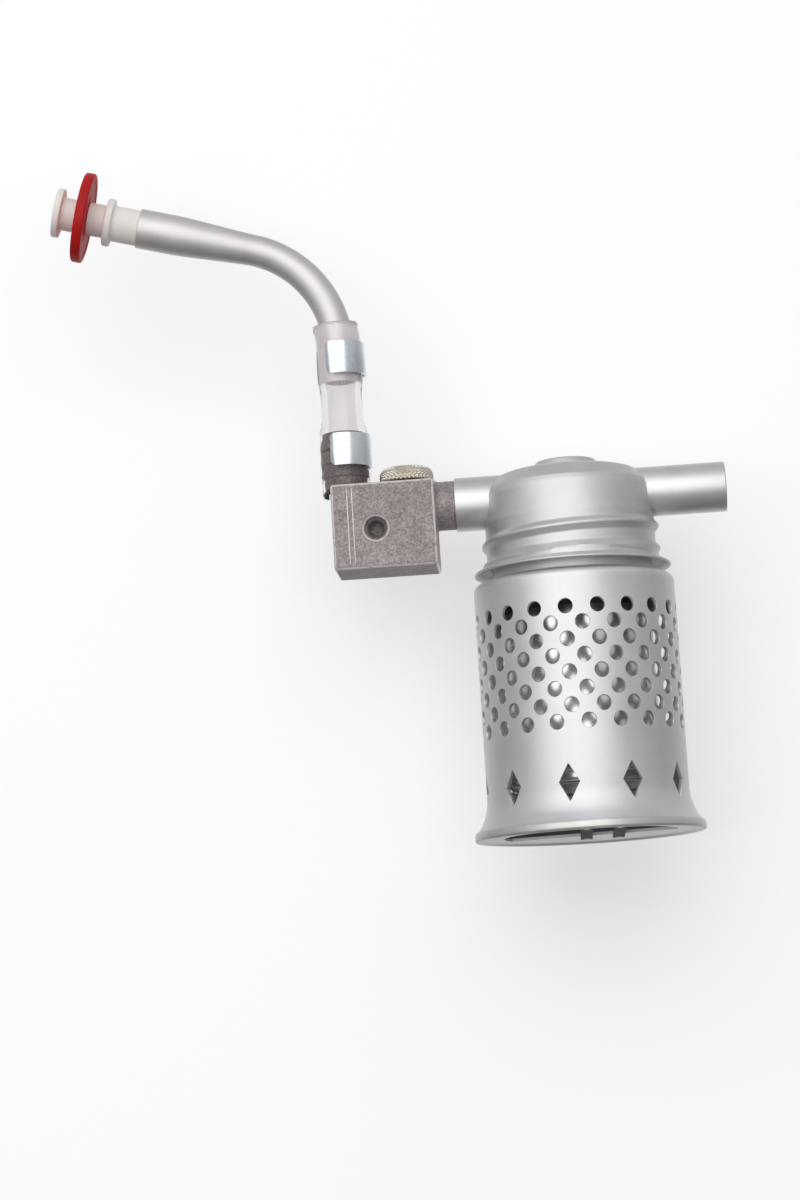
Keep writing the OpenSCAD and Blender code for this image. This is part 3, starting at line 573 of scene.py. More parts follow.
def dark_gauze(name):
    """Fine steel gauze, dark with soot."""
    n = Surface(name)
    soot = n.noise(260.0, 5.0, 0.7)
    tint = n.ramp(soot, [(0.3, (0.07, 0.07, 0.075)), (0.7, (0.26, 0.25, 0.25))])
    rough = n.ramp(soot, [(0.3, 0.6), (0.7, 0.45)])
    return n.surface(Base_Color=tint, Metallic=0.8, Roughness=rough)


def dark_patchy_steel(name, colour):
    """Plain steel, dark, in darker and lighter patches."""
    n = Surface(name)
    stain = n.noise(180.0, 5.0, 0.65)
    tint = n.ramp(stain, [(0.28, scaled(colour, 0.55)), (0.5, colour), (0.75, scaled(colour, 1.3))])
    rough = n.ramp(stain, [(0.3, 0.8), (0.7, 0.65)])
    return n.surface(Base_Color=tint, Metallic=0.2, Roughness=rough, Specular_IOR_Level=0.15,
                     Normal=n.bump(n.noise(2400.0, 3.0), 0.2, 0.00004))


FINISHES = {}


def finish(name):
    """The finish of that name, made once."""
    if name in FINISHES:
        return FINISHES[name]
    colours = bpy.context.scene.burner_finish
    keys = ("aluminium", "cap", "zinc", "vinyl", "nylon", "red")
    aluminium, cap, zinc, vinyl, nylon, red = (tuple(getattr(colours, key)) for key in keys)
    along_x_lines, along_y_lines, round_z_lines = (2600, 40, 40), (60, 2600, 60), (60, 60, 2200)
    recipes = {
        "guard_aluminium": (drawn_metal, aluminium, 0.48),
        "cap_aluminium": (drawn_metal, cap, 0.5, 0.14),
        "tube_aluminium": (drawn_metal, aluminium, 0.42, 0.12, along_x_lines),
        "inlet_aluminium": (drawn_metal, (0.86, 0.83, 0.82), 0.52, 0.12, along_y_lines),
        "base_sheet": (drawn_metal, (0.80, 0.78, 0.76), 0.45, 0.2),
        "flame_steel": (drawn_metal, (0.88, 0.88, 0.90), 0.22, 0.1),
        "strap_steel": (dark_patchy_steel, (0.10, 0.09, 0.08)),
        "block_zinc": (cast_zinc, zinc),
        "barb_zinc": (cast_zinc, (0.27, 0.225, 0.22)),
        "port_zinc": (cast_zinc, (0.27, 0.235, 0.225)),
        "fitting_steel": (plated_steel, (0.55, 0.55, 0.54), 0.32),
        "knob_nickel": (plated_steel, (0.84, 0.79, 0.70), 0.28, round_z_lines),
        "clamp_zinc": (plated_steel, (0.82, 0.88, 0.93), 0.2),
        "burner_brass": (turned_brass, (0.72, 0.54, 0.24)),
        "gasket_rubber": (moulded, (0.03, 0.03, 0.032), 0.6),
        "gauze_steel": (dark_gauze,),
        "hose_clear": (clear_vinyl, vinyl),
        "nipple_nylon": (moulded, nylon, 0.38, 0.95, 0.15),
        "disc_red": (moulded, red, 0.5, 0.75),
    }
    maker, *values = recipes[name]
    FINISHES[name] = maker(name, *values)
    return FINISHES[name]


# ---------------------------------------------------------------- pieces


class BURNER_OT_guard_can(bpy.types.Operator):
    """Adds the perforated guard can"""

    bl_idname = "burner.guard_can"
    bl_label = "Guard Can"

    def foot(self):
        """The flare's outside and inside, from the straight wall to the edge."""
        can = bpy.context.scene.burner_can
        low, edge = 1.6 * MM, FOOT_R - 0.7 * MM
        outer, inner = can.radius, can.radius - can.wall
        outside = near(outer, low, [(0, 9.4), (0.15, 8), (0.45, 6.6), (0.95, 4.9), (1.9, 2.75)])
        outside += near(edge, low, [(-0.3, 1.3), (0, 0.8)])
        inside = near(edge, low, [(0, 0), (-1.1, 0.3)])
        inside += near(outer, low, [(0.9, 2.3), (-0.1, 4.6)])
        inside += near(inner, low, [(0.35, 6.6), (0, 9.4)])
        return outside, inside

    def hole_cutter(self):
        """All the round holes, each flared a little where the punch entered, and the diamonds."""
        can = bpy.context.scene.burner_can
        outer = can.radius
        # Each cut's distance from the axis, and how much wider than the hole it is there
        stages = [(outer - can.wall - 1.2 * MM, 0)] + near(
            outer, 0, [(-0.22, 0), (-0.08, 0.05), (0.02, 0.16), (1.5, 0.9)])
        bm = bmesh.new()

        def punch(angle, z, outline):
            turn, lift = Matrix.Rotation(angle, 3, "Z"), Vector((0, 0, z))
            rings = []
            for reach, grow in stages:
                ring = []
                for x, y in outline:
                    size = math.hypot(x, y)
                    x, y = x * (size + grow) / size, y * (size + grow) / size
                    ring.append(turn @ Vector((x, -reach, y)) + lift)
                rings.append(ring)
            add_loft(bm, rings)

        sides = 32
        turns = [math.tau * k / sides for k in range(sides)]
        circle = [(can.hole_radius * math.cos(t), can.hole_radius * math.sin(t)) for t in turns]
        step = math.tau / can.per_row
        for row in range(can.rows):
            z = can.top_row - row * can.row_pitch
            for k in range(can.per_row):
                punch(can.hole_phase + (k + (row % 2) / 2) * step, z, circle)
        w, h = can.diamond_width / 2, can.diamond_height / 2
        diamond = filled([(w, 0), (0, h), (-w, 0), (0, -h), (w, 0)], 1.2 * MM)[:-1]
        diamond = rounded(diamond, 0.22 * MM, 2)
        for k in range(can.diamonds):
            punch(can.diamond_phase + math.tau * k / can.diamonds, can.diamond_z, diamond)
        return new_object("can_cutter", bm)

    def execute(self, context):
        can = context.scene.burner_can
        outside, inside = self.foot()
        corner, wall, r = can.corner, can.wall, can.radius
        neck, neck_in = can.neck_radius, can.neck_radius - wall
        bend, step = 0.8 * MM, 1.1 * MM
        corner_z = can.height - corner
        profile = [(neck_in, can.neck_top), (neck, can.neck_top), (neck, can.height + 1.2 * MM)]
        profile += arc(neck + bend, can.height + bend, bend, 180, 270, 4)
        profile += arc(r - corner, corner_z, corner, 90, 0, 10)
        profile += filled([(r, corner_z - 0.5 * MM), outside[0]], step) + outside[1:]
        profile += inside + filled([inside[-1], (r - wall, corner_z)], step)[1:]
        profile += arc(r - corner, corner_z, corner - wall, 0, 90, 6)[1:]
        profile += [(neck_in, can.height - wall)]
        piece = lathe("guard_can_sheet", profile, 300)
        cut_out(piece, self.hole_cutter(), 30)
        dress(piece, "guard_can", "guard_aluminium")
        return {"FINISHED"}


class BURNER_OT_base(bpy.types.Operator):
    """Adds the base plate with its window and its rolled rim"""

    bl_idname = "burner.base"
    bl_label = "Base"

    def execute(self, context):
        edge, plate_low, plate_top = FOOT_R, 0.6 * MM, 1.4 * MM
        grip = edge - 0.62 * MM
        rim = [(0.0, plate_low), (edge - 2.2 * MM, plate_low)]
        rim += near(edge, 0, [(-1.25, 0.12), (-0.75, 0), (-0.2, 0.12), (0, 0.65), (-0.02, 1.3),
                              (-0.16, 2.2), (-0.42, 2.72)])
        rim += near(grip, 0, [(0, 2.8), (-0.02, 2.4)]) + [(grip, plate_top), (0.0, plate_top)]
        profile = rounded(rim, 0.25 * MM, 3, closed=False)

        def rolled(r, z, turn):
            # The rolled edge is crimped: it waves a little in height and in width
            if r > grip - 0.05 * MM and z > 1.5 * MM:
                wave = noise.noise(Vector((math.cos(turn) * 9, math.sin(turn) * 9, 3.1)))
                fine = noise.noise(Vector((math.cos(turn) * 31, math.sin(turn) * 31, 7.7)))
                z += (0.16 * wave + 0.09 * fine - 0.1) * MM
                r -= abs(0.05 * fine) * MM
            return r, z

        plate = lathe("base_plate_sheet", profile, 360, shape=rolled)
        cut_out(plate, self.window(plate_low, plate_top))
        dress(plate, "base_plate", "base_sheet")
        return {"FINISHED"}

    def window(self, low, top):
        """The D-shaped window's cutter: a round front and a straight, slightly turned back."""
        radius, back, turn = 24 * MM, 4.9 * MM, math.radians(-11)
        half = math.acos(back / radius)
        steps, corner, past = 48, 1.5 * MM, 1 * MM
        outline = []
        for k in range(steps + 1):
            a = math.pi / 2 + half + (math.tau - 2 * half) * k / steps
            outline.append((radius * math.cos(a + turn), radius * math.sin(a + turn)))
        outline = rounded(outline, [corner] + [0] * (steps - 1) + [corner], 4)
        bm = bmesh.new()
        add_loft(bm, [[(x, y, z) for x, y in outline] for z in (low - past, top + past)])
        return new_object("window_cutter", bm)


class BURNER_OT_flame_tube(bpy.types.Operator):
    """Adds the bright flame tube inside the can"""

    bl_idname = "burner.flame_tube"
    bl_label = "Flame Tube"

    def execute(self, context):
        bead = 0.5 * MM
        outer = FLAME_BOX[1][0] - bead
        inner = outer - 0.8 * MM
        low, top = FLAME_BOX[0][2], FLAME_BOX[1][2]
        profile = [(inner, top), (outer, top)]
        for place, size in ((low + 3.6 * MM, bead), (low + 0.7 * MM, bead)):
            profile += [(outer + size * math.exp(-((k - 4) / 2) ** 2), place + (4 - k) * 0.22 * MM)
                        for k in range(9)]
        profile += [(inner + 0.2 * MM, low), (inner, low + 0.4 * MM)]
        piece = lathe("flame_tube_sheet", rounded(profile, 0.12 * MM, 2), 160)
        dress(piece, "flame_tube", "flame_steel")
        return {"FINISHED"}


class BURNER_OT_cap(bpy.types.Operator):
    """Adds the screw cap with its rolled thread"""

    bl_idname = "burner.cap"
    bl_label = "Screw Cap"

    def thread(self, z, turn):
        """Height of the rolled thread at a place on the skirt. It fades out at both ends."""
        cap = bpy.context.scene.burner_cap
        half = 2.1 * MM
        low_turn, high_turn = -3.05 * math.pi, 0.42 * math.pi
        total = 0.0
        for lap in range(-2, 2):
            at = turn + math.tau * lap
            crest = cap.thread_z + cap.pitch * at / math.tau
            gap = abs(z - crest) / half
            if gap < 1:
                fade = min(1, max(0, (at - low_turn) / 0.5), max(0, (high_turn - at) / 1.1))
                fade = fade * fade * (3 - 2 * fade)
                total = max(total, fade * (0.5 + 0.5 * math.cos(math.pi * gap)))
        return total * cap.thread_height

    def execute(self, context):
        cap = context.scene.burner_cap
        wall, skirt, body = cap.wall, cap.skirt_radius, cap.body_radius
        rim, dome = cap.rim_radius, cap.dome_radius
        dome_height, lip, fine, coarse = 2.4 * MM, 0.45 * MM, 0.28 * MM, 1.2 * MM
        low, top = CAP_BOX[0][2], CAP_BOX[1][2] - dome_height
        step = 87.5 * MM
        # Outside, from the rolled rim up to the dome
        outside = arc(rim - lip, low + lip, lip, -60, 100, 6)
        outside += near(rim, low, [(-1.3, 1.25), (-2.2, 1.85)])
        outside += near(skirt, low, [(0.7, 2.75), (0.18, 3.7)])
        outside += filled(near(skirt, low, [(0, 5)]) + near(skirt, step, [(-0.05, 0.6)]), fine)
        outside += near(skirt, step, [(-0.1, 1.1)]) + near(body, step, [(0.2, 1.9)])
        wall_ends = near(body, step, [(0.12, 2.8)]) + near(body, top, [(-0.12, -6.8)])
        outside += filled(wall_ends, coarse)
        shoulder = near(body, top, [(-0.12, -6.8), (-0.7, -5.1)])
        shoulder += near(0.0, top, [(19.6, -1.7), (17.2, -0.9)])
        shoulder += near(dome, top, [(-1.3, -0.6), (-2.6, 2.2), (-4.2, 2.4)])
        shoulder += near(0.0, top, [(0, 2.4)])
        eases = [ease * MM for ease in (0, 1.6, 1.2, 0.8, 0.9, 0.9, 1, 0)]
        outside += filled(rounded(shoulder, eases, 5, closed=False), 1.4 * MM)[1:]
        # Inside, from the dome down to the rim
        inside = near(0.0, top, [(0, 1.4)]) + near(dome, top, [(-5.4, 1.4)])
        inside += near(dome, top - wall, [(-3.4, 0.5), (-1.6, -0.3)])
        inside += near(cap.top_radius, top - wall, [(-0.5, -0.9)])
        inside += near(body, top, [(-2.3, -5.4)]) + near(body - wall, top, [(-0.3, -7)])
        inside += near(body - wall, step, [(0, 1)])
        bore = skirt - wall
        inside += filled(near(bore, step, [(0, 0.3)]) + near(bore, low, [(0, 4.6)]), fine)
        inside += near(bore, low, [(0.3, 3.1)]) + near(skirt, low, [(0.5, 1.5)])
        inside += near(rim, low, [(-1.6, 0.35)])

        def rolled(r, z, turn):
            if low + 1.5 * MM < z < step + 1.2 * MM and r < skirt + 1.2 * MM:
                r += self.thread(z, turn)
            return r, z

        piece = lathe("screw_cap_sheet", outside + inside, 216, shape=rolled)
        reach, far = cap.top_radius + 0.05 * MM, 30 * MM
        for box, mirrored in ((MIX_BOX, True), (OUTLET_BOX, False)):
            radius = half_size(box, 1) + 0.06 * MM
            ring = [(0, reach), (radius, reach), (radius + 0.02 * MM, far), (0, far)]
            cut_out(piece, lathe("tube_hole", ring, 72, along_x(mirrored)), 32)
        dress(piece, "screw_cap", "cap_aluminium")
        return {"FINISHED"}


class BURNER_OT_cross_tubes(bpy.types.Operator):
    """Adds the mixing tube and the outlet tube"""

    bl_idname = "burner.cross_tubes"
    bl_label = "Cross Tubes"

    def execute(self, context):
        wall, spigot, shoulder, start, soft = 1 * MM, 6 * MM, 16.8 * MM, 8 * MM, 0.2 * MM
        sides = (("mixing_tube", MIX_BOX, -MIX_BOX[0][0], soft),
                 ("outlet_tube", OUTLET_BOX, OUTLET_BOX[1][0], 0.35 * MM))
        for node, box, end, ease in sides:
            radius = half_size(box, 1)
            bore = radius - wall
            points = [(spigot - wall, start), (spigot, start), (spigot, shoulder),
                      (radius, shoulder), (radius, end), (bore, end),
                      (bore, shoulder + 1.6 * MM), (spigot - wall, shoulder + wall)]
            profile = rounded(points, [soft] * 4 + [ease] * 2 + [soft] * 2)
            piece = lathe(node + "_drawn", profile, 144, along_x(node == "mixing_tube"))
            dress(piece, node, "tube_aluminium")
        return {"FINISHED"}


class BURNER_OT_valve_block(bpy.types.Operator):
    """Adds the cast valve block with its port"""

    bl_idname = "burner.valve_block"
    bl_label = "Valve Block"

    def execute(self, context):
        left, right = BLOCK_BOX[0][0], BLOCK_RIGHT
        low, top = BLOCK_BOX[0][2], BLOCK_TOP
        half = 9.5 * MM
        middle_z = (low + top) / 2
        bm, eased = eased_box(((left + right) / 2, 0, middle_z),
                              (right - left, 2 * half, top - low), 0.95 * MM, 4)
        flats = [face for face in bm.faces if face not in eased]
        bmesh.ops.inset_individual(bm, faces=flats, thickness=0.55 * MM, use_even_offset=True)
        block = new_object("valve_block_body", bm)
        port_x, port_z = left + 12.2 * MM, 88.9 * MM
        port = near(0, 0, [(0, 4), (3.15, 4)]) + near(0, half, [
            (3.15, -0.7), (3.4, -0.4), (3.85, -0.12), (4.1, 0.1), (4.2, 1), (0, 1)])
        cut_out(block, lathe("port_cutter", port, 64, facing_front(port_x, port_z)))
        stem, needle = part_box("valve_stem"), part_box("valve_needle")
        chamber_r = max(half_size(stem, 1), half_size(needle, 1)) + 0.15 * MM
        # The bores for the gland, the needle's chamber and the barb
        for x, radius, floor in ((KNOB_X, 4.8 * MM, top - 2.6 * MM),
                                 (KNOB_X, chamber_r, needle[0][2] - 0.3 * MM),
                                 (HOSE_X, 4.45 * MM, top - 7 * MM)):
            bore = [(0, floor), (radius, floor), (radius, top + MM), (0, top + MM)]
            cut_out(block, lathe("bore_cutter", bore, 64, Matrix.Translation((x, 0, 0))))
        stub_end, spigot_end, stub_r, spigot_r = 31.5 * MM, 25.5 * MM, 6.9 * MM, 6.55 * MM
        stub = near(0, -right, [(4, 1.5), (7.5, 1.5), (7.5, -0.05)])
        stub += near(stub_r, -right, [(0.15, -0.35), (0, -0.9)])
        stub += [(stub_r, stub_end), (spigot_r, stub_end), (spigot_r, spigot_end),
                 (4 * MM, spigot_end)]
        parts = [block, lathe("stub", rounded(stub, 0.12 * MM, 2), 96, along_x(mirrored=True))]
        for line_x in (left + 4.6 * MM, left + 6 * MM):
            size = (0.34 * MM, 0.3 * MM, top - low - 3 * MM)
            line = eased_box((line_x, -half, middle_z), size, 0.1 * MM, 2)[0]
            parts.append(new_object("cast_line", line))
        piece = joined("valve_block_cast", parts)
        # Where the cast skin gets a painted highlight: the edges, the port's lip and the casting
        # lines
        worn = piece.data.attributes.new("worn", "FLOAT", "POINT")
        sides = ((left, right), (-half, half), (low, top))
        for vert, value in zip(piece.data.vertices, worn.data):
            at = vert.co
            gaps = [min(abs(c - a), abs(c - b)) for c, (a, b) in zip(at, sides)]
            edge = sum(gap < 0.8 * MM for gap in gaps) > 1 and at.x < right + 0.1 * MM
            from_port = math.hypot(at.x - port_x, at.z - port_z)
            lip = 3.1 * MM < from_port < 3.95 * MM and at.y < -half + 0.6 * MM
            value.value = 1.0 if edge or lip else 0.97 if at.y < -half - 0.01 * MM else 0.0
        dress(piece, "valve_block", "block_zinc")
        return {"FINISHED"}


class BURNER_OT_test_screw(bpy.types.Operator):
    """Adds the screw that closes the test port"""

    bl_idname = "burner.test_screw"
    bl_label = "Test Screw"

    def execute(self, context):
        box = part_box("test_screw")
        radius, low, face = half_size(box, 0), -box[1][1], -box[0][1]
        socket = 2.2 * MM
        profile = [(0, low), (radius, low), (radius, face - 0.1 * MM)]
        profile += near(socket, face, [(0.5, -0.15), (0, -0.7)])
        profile += near(socket, low, [(-0.05, 1.4)]) + near(0, low, [(1.3, 0.8), (0, 1.1)])
        profile = rounded(filled(profile, 0.6 * MM), 0.1 * MM, 2)
        place = facing_front(middle(box, 0), middle(box, 2))
        piece = lathe("test_screw_turned", profile, 72, place)
        dress(piece, "test_screw", "port_zinc")
        return {"FINISHED"}


class BURNER_OT_valve_knob(bpy.types.Operator):
    """Adds the knurled valve knob"""

    bl_idname = "burner.valve_knob"
    bl_label = "Valve Knob"

    def execute(self, context):
        low, top = KNOB_BOX[0][2], KNOB_BOX[1][2]
        radius = half_size(KNOB_BOX, 0)
        shoulder, bore = 2.5 * MM, 2.55 * MM
        teeth, depth, columns_per_tooth = 38, 0.62 * MM, 12
        profile = [(bore, top - 2 * MM), (bore, low)] + near(radius, low, [(-0.9, 0), (-0.3, 0.12)])
        profile += filled([(radius, low + 0.45 * MM), (radius, top - shoulder)], 0.14 * MM)
        profile += arc(radius - shoulder, top - shoulder, shoulder, 0, 80, 20)[1:]
        profile += near(radius, top, [(-2.8, -0.03), (-3.3, -0.18), (-4.2, -0.12)])
        profile += near(0, top, [(1.2, -0.1), (0, -0.1), (0, -2)])
        start = low + 0.3 * MM
        foot = radius - shoulder - 0.4 * MM

        def knurled(r, z, turn):
            if r < foot or z < start:
                return r, z
            # Two crossed helical grooves leave small diamonds
            above = max(0.0, z - (top - shoulder))
            slant = (z - start + above * 0.8) / (1.3 * MM)
            tooth = turn * teeth / math.tau
            first, second = (abs((tooth + way * slant) % 1 - 0.5) * 2 for way in (1, -1))
            groove = max((1 - first) ** 1.5, (1 - second) ** 1.5)
            fade = min(1.0, (z - start) / (0.35 * MM), max(0.0, (r - foot) / (0.8 * MM)))
            r -= depth * groove * fade * 0.8
            z -= 0.25 * depth * groove * fade * above / shoulder
            return r, z

        piece = lathe("valve_knob_knurled", profile, teeth * columns_per_tooth,
                      Matrix.Translation((KNOB_X, 0, 0)), knurled, sharp=50)
        dress(piece, "valve_knob", "knob_nickel")
        return {"FINISHED"}


class BURNER_OT_hose(bpy.types.Operator):
    """Adds the barb and the clear hose that is pushed over it"""

    bl_idname = "burner.hose"
    bl_label = "Hose"

    def execute(self, context):
        barb_low, barb_top = BARB_BOX[0][2], BARB_BOX[1][2]
        barb_r = half_size(BARB_BOX, 0)
        root, pipe, crests = barb_r - 0.6 * MM, 2.4 * MM, 3
        points = [(pipe, barb_low), (root, barb_low), (root, BLOCK_TOP + 3 * MM)]
        for k in range(crests):
            crest = BLOCK_TOP + (3.4 + 4 * k) * MM
            points += [(barb_r, crest), (barb_r, crest + 0.5 * MM), (root, crest + 3.5 * MM)]
        points += [(root, barb_top), (pipe, barb_top)]
        place = Matrix.Translation((HOSE_X, 0, 0))
        barb = lathe("hose_barb_turned", rounded(points, 0.1 * MM, 2), 96, place)
        dress(barb, "hose_barb", "barb_zinc")

        low, length = HOSE_BOX[0][2], 47.2 * MM
        top = low + length
        tube_low = top - 17 * MM
        barb_in, bore = barb_r - 0.7 * MM, 3.95 * MM
        tube_in, tube_r = context.scene.burner_inlet.radius - 0.05 * MM, 6.45 * MM
        over_barb = barb_in + 2.63 * MM
        step, ease = 0.8 * MM, 0.3 * MM
        outer = near(low, over_barb, [(0, -0.05), (3, -0.12)])
        for k in range(crests):
            outer += near(BLOCK_TOP + (3.6 + 4 * k) * MM, over_barb, [(0, 0), (2.2, -0.16)])
        outer += near(barb_top, over_barb, [(0.6, -0.2)])
        outer += near(barb_top, 0, [(2.2, 6.3), (4.2, 6), (7, 5.88)])
        outer += near(tube_low, 0, [(-3.4, 5.86), (-1.4, 6.06), (0.8, 6.4)])
        outer = filled(outer + [(tube_low + 3 * MM, tube_r), (top, tube_r)], step)
        inner = filled([(top, tube_in), (tube_low - 0.2 * MM, tube_in),
                        (tube_low - 2 * MM, bore), (barb_top + 2.5 * MM, bore),
                        (barb_top + 0.4 * MM, barb_in), (low, barb_in)], step)
        foot = outer[0][1]
        outer = [(low, foot - ease), (low + ease * 0.3, foot - ease * 0.3)] + outer[1:-1]
        outer += [(top - ease * 0.3, tube_r - ease * 0.3), (top, tube_r - ease)]
        block_end = BLOCK_BOX[0][0] - HOSE_X - 0.1 * MM

        def soft(s, r, turn):
            r += 0.05 * MM * noise.noise(Vector((s * 90, math.cos(turn), math.sin(turn))))
            # The upper end is cut almost level, and the lower one hangs down past the block's end
            slide = -r * math.cos(turn) * 0.14 * max(0.0, 1 - (top - s) / (3 * MM))
            past = (block_end - r * math.cos(turn)) / (0.7 * MM)
            if s < low + 1 * MM and past > 0:
                slide -= 2.3 * MM * min(1.0, past) * (1 - (s - low) / MM)
            return r, slide

        hose = swept("gas_hose_clear", outer + inner, 120, shape=soft)
        dress(hose, "gas_hose", "hose_clear")
        return {"FINISHED"}


class BURNER_OT_clamps(bpy.types.Operator):
    """Adds the two sprung hose clamps"""

    bl_idname = "burner.clamps"
    bl_label = "Hose Clamps"

    def band(self, node, low, high, radius, lean):
        """A C-shaped band with rounded ends and eased edges."""
        thickness, corner, ease = 0.7 * MM, 1.3 * MM, 0.16 * MM
        half = (high - low) / 2
        first, turn = math.radians(-117), math.radians(245)
        arc_length = turn * radius
        end_steps, body_steps = 7, 84
        corner_places = [corner * (1 - math.cos(math.pi / 2 * k / end_steps))
                         for k in range(1, end_steps + 1)]
        places = [0.0] + corner_places
        places += [corner + (arc_length - 2 * corner) * k / body_steps
                   for k in range(1, body_steps + 1)]
        places += [arc_length - p for p in reversed(places[:end_steps + 1])][1:]

        def section(w):
            return rounded([(radius, -w), (radius + thickness, -w), (radius + thickness, w),
                            (radius, w)], ease, 2)

        def point(i, j):
            s = places[j]
            edge = min(s, arc_length - s)
            width = half
            if edge < corner:
                width -= corner - math.sqrt(max(0.0, corner ** 2 - (corner - edge) ** 2))
            r, z = section(max(width, 0.4 * MM))[i]
            angle = first + s / radius
            return Vector((r * math.cos(angle), r * math.sin(angle), z))

        bm = grid_solid(len(section(half)), len(places), point, wrap_columns=False)
        place = Matrix.Translation((HOSE_X, 0, (low + high) / 2)) @ Matrix.Rotation(-lean, 4, "Y")
        bmesh.ops.transform(bm, matrix=place, verts=bm.verts)
        dress(new_object(node + "_band", bm, 40), node, "clamp_zinc")

    def execute(self, context):
        width = 9.3 * MM
        lower, upper = HOSE_BOX[0][2] + 5.5 * MM, HOSE_BOX[0][2] + 32 * MM
        self.band("lower_clamp", lower, lower + width, 7 * MM, 0.0)
        self.band("upper_clamp", upper, upper + width, 6.7 * MM, math.radians(1.5))
        return {"FINISHED"}


class BURNER_OT_inlet_tube(bpy.types.Operator):
    """Adds the bent, flared inlet tube"""

    bl_idname = "burner.inlet_tube"
    bl_label = "Inlet Tube"

    def execute(self, context):
        inlet = context.scene.burner_inlet
        low, mouth = HOSE_BOX[0][2] + 30.2 * MM, mouth_length()
        flare_start, flare_end = mouth - inlet.run, mouth - inlet.mouth_length
        wall_low, wall_top = 0.8 * MM, 0.5 * MM

        def flare(s):
            return min(1.0, max(0.0, (s - flare_start) / (flare_end - flare_start)))

        def outer_radius(s):
            t = flare(s)
            t = 0.65 * t + 0.35 * t * t * (3 - 2 * t)
            return inlet.radius + (inlet.mouth_radius - inlet.radius) * t

        def inner_radius(s):
            return outer_radius(s) - (wall_low + (wall_top - wall_low) * flare(s))

        count = 72
        stations = [low + (mouth - low) * k / count for k in range(count + 1)]
        ease = 0.14 * MM
        rings = [(low, inner_radius(low) + ease), (low, outer_radius(low) - ease)]
        rings += [(s, outer_radius(s)) for s in [low + ease] + stations[1:-1] + [mouth - ease]]
        rings += [(mouth, outer_radius(mouth) - ease), (mouth, inner_radius(mouth) + ease)]
        rings += [(s, inner_radius(s)) for s in [mouth - ease] + stations[-2:0:-1] + [low + ease]]
        tube = swept("inlet_tube_bent", rings, 112)
        dress(tube, "inlet_tube", "inlet_aluminium")
        return {"FINISHED"}


class BURNER_OT_nipple(bpy.types.Operator):
    """Adds the nipple and its grip disc"""

    bl_idname = "burner.nipple"
    bl_label = "Nipple"

    def execute(self, context):
        place = inlet_path(mouth_length())
        body, seat, neck, bore = 5.1 * MM, 4.1 * MM, 4.7 * MM, 2 * MM
        collar, flange, thick = 7.6 * MM, 22.2 * MM, 2 * MM
        collar_r, flange_r, disc_r, half = 6.8 * MM, 7 * MM, 12.85 * MM, 1.45 * MM
        points = [(bore, -12 * MM)] + near(body, 0, [(-0.8, -12), (-0.2, -11)])
        for at in (-8.4 * MM, -4.4 * MM):
            points += [(body - 0.2 * MM, at), (seat, at), (seat, at + 1.5 * MM),
                       (body - 0.2 * MM, at + 1.5 * MM)]
        points += [(body, -2.6 * MM), (body, collar), (collar_r, collar),
                   (collar_r, collar + thick), (neck, collar + thick), (neck, flange),
                   (flange_r, flange), (flange_r, flange + thick)]
        points += near(bore, flange + thick, [(0.5, 0), (0, -0.5)])
        # The collar and the flange have softer edges than the rest
        eases = [0.2 * MM] * 12 + [0.45 * MM] * 8 + [0.2 * MM]
        nipple = lathe("inlet_nipple_moulded", rounded(points, eases, 4), 112, place)
        dress(nipple, "inlet_nipple", "nipple_nylon")

        middle = collar + thick + 12.6 * MM / 2
        low, top = middle - half, middle + half
        disc = near(neck, top, [(0.02, 0)]) + near(neck, low, [(0.02, 0), (1.6, 0), (2.1, 0.25)])
        disc += near(disc_r, low, [(-1.9, 0.25), (-1.5, 0), (0, 0)])
        disc += near(disc_r, top, [(0, 0), (-1.5, 0), (-1.9, -0.25)])
        disc += near(neck, top, [(2.1, -0.25), (1.6, 0)])
        eases = [0.15 * MM] * 6 + [0.7 * MM] * 2 + [0.15 * MM] * 4
        grip = lathe("grip_disc_moulded", rounded(disc, eases, 5), 144, place)
        dress(grip, "grip_disc", "disc_red")
        return {"FINISHED"}


class BURNER_OT_inner_parts(bpy.types.Operator):
    """Gives their finishes to the pieces that keep the frame's shape"""

    bl_idname = "burner.inner_parts"
    bl_label = "Inner Parts"

    def execute(self, context):
        kept = {
            "strap_steel": ("window_straps", "tube_hanger"),
            "fitting_steel": ("strap_rivets", "gauze_ring", "channel_plug", "valve_stem",
                              "valve_needle", "inlet_filter"),
            "burner_brass": ("burner_body", "feed_pipe", "burner_head", "injector_jet",
                             "valve_gland"),
            "gasket_rubber": ("cap_gasket", "stem_seal", "nipple_seals"),
            "gauze_steel": ("flame_gauze",),
        }
        for name, nodes in kept.items():
            for node in nodes:
                for slot in frame["nodes"][node].material_slots:
                    slot.material = finish(name)
        return {"FINISHED"}


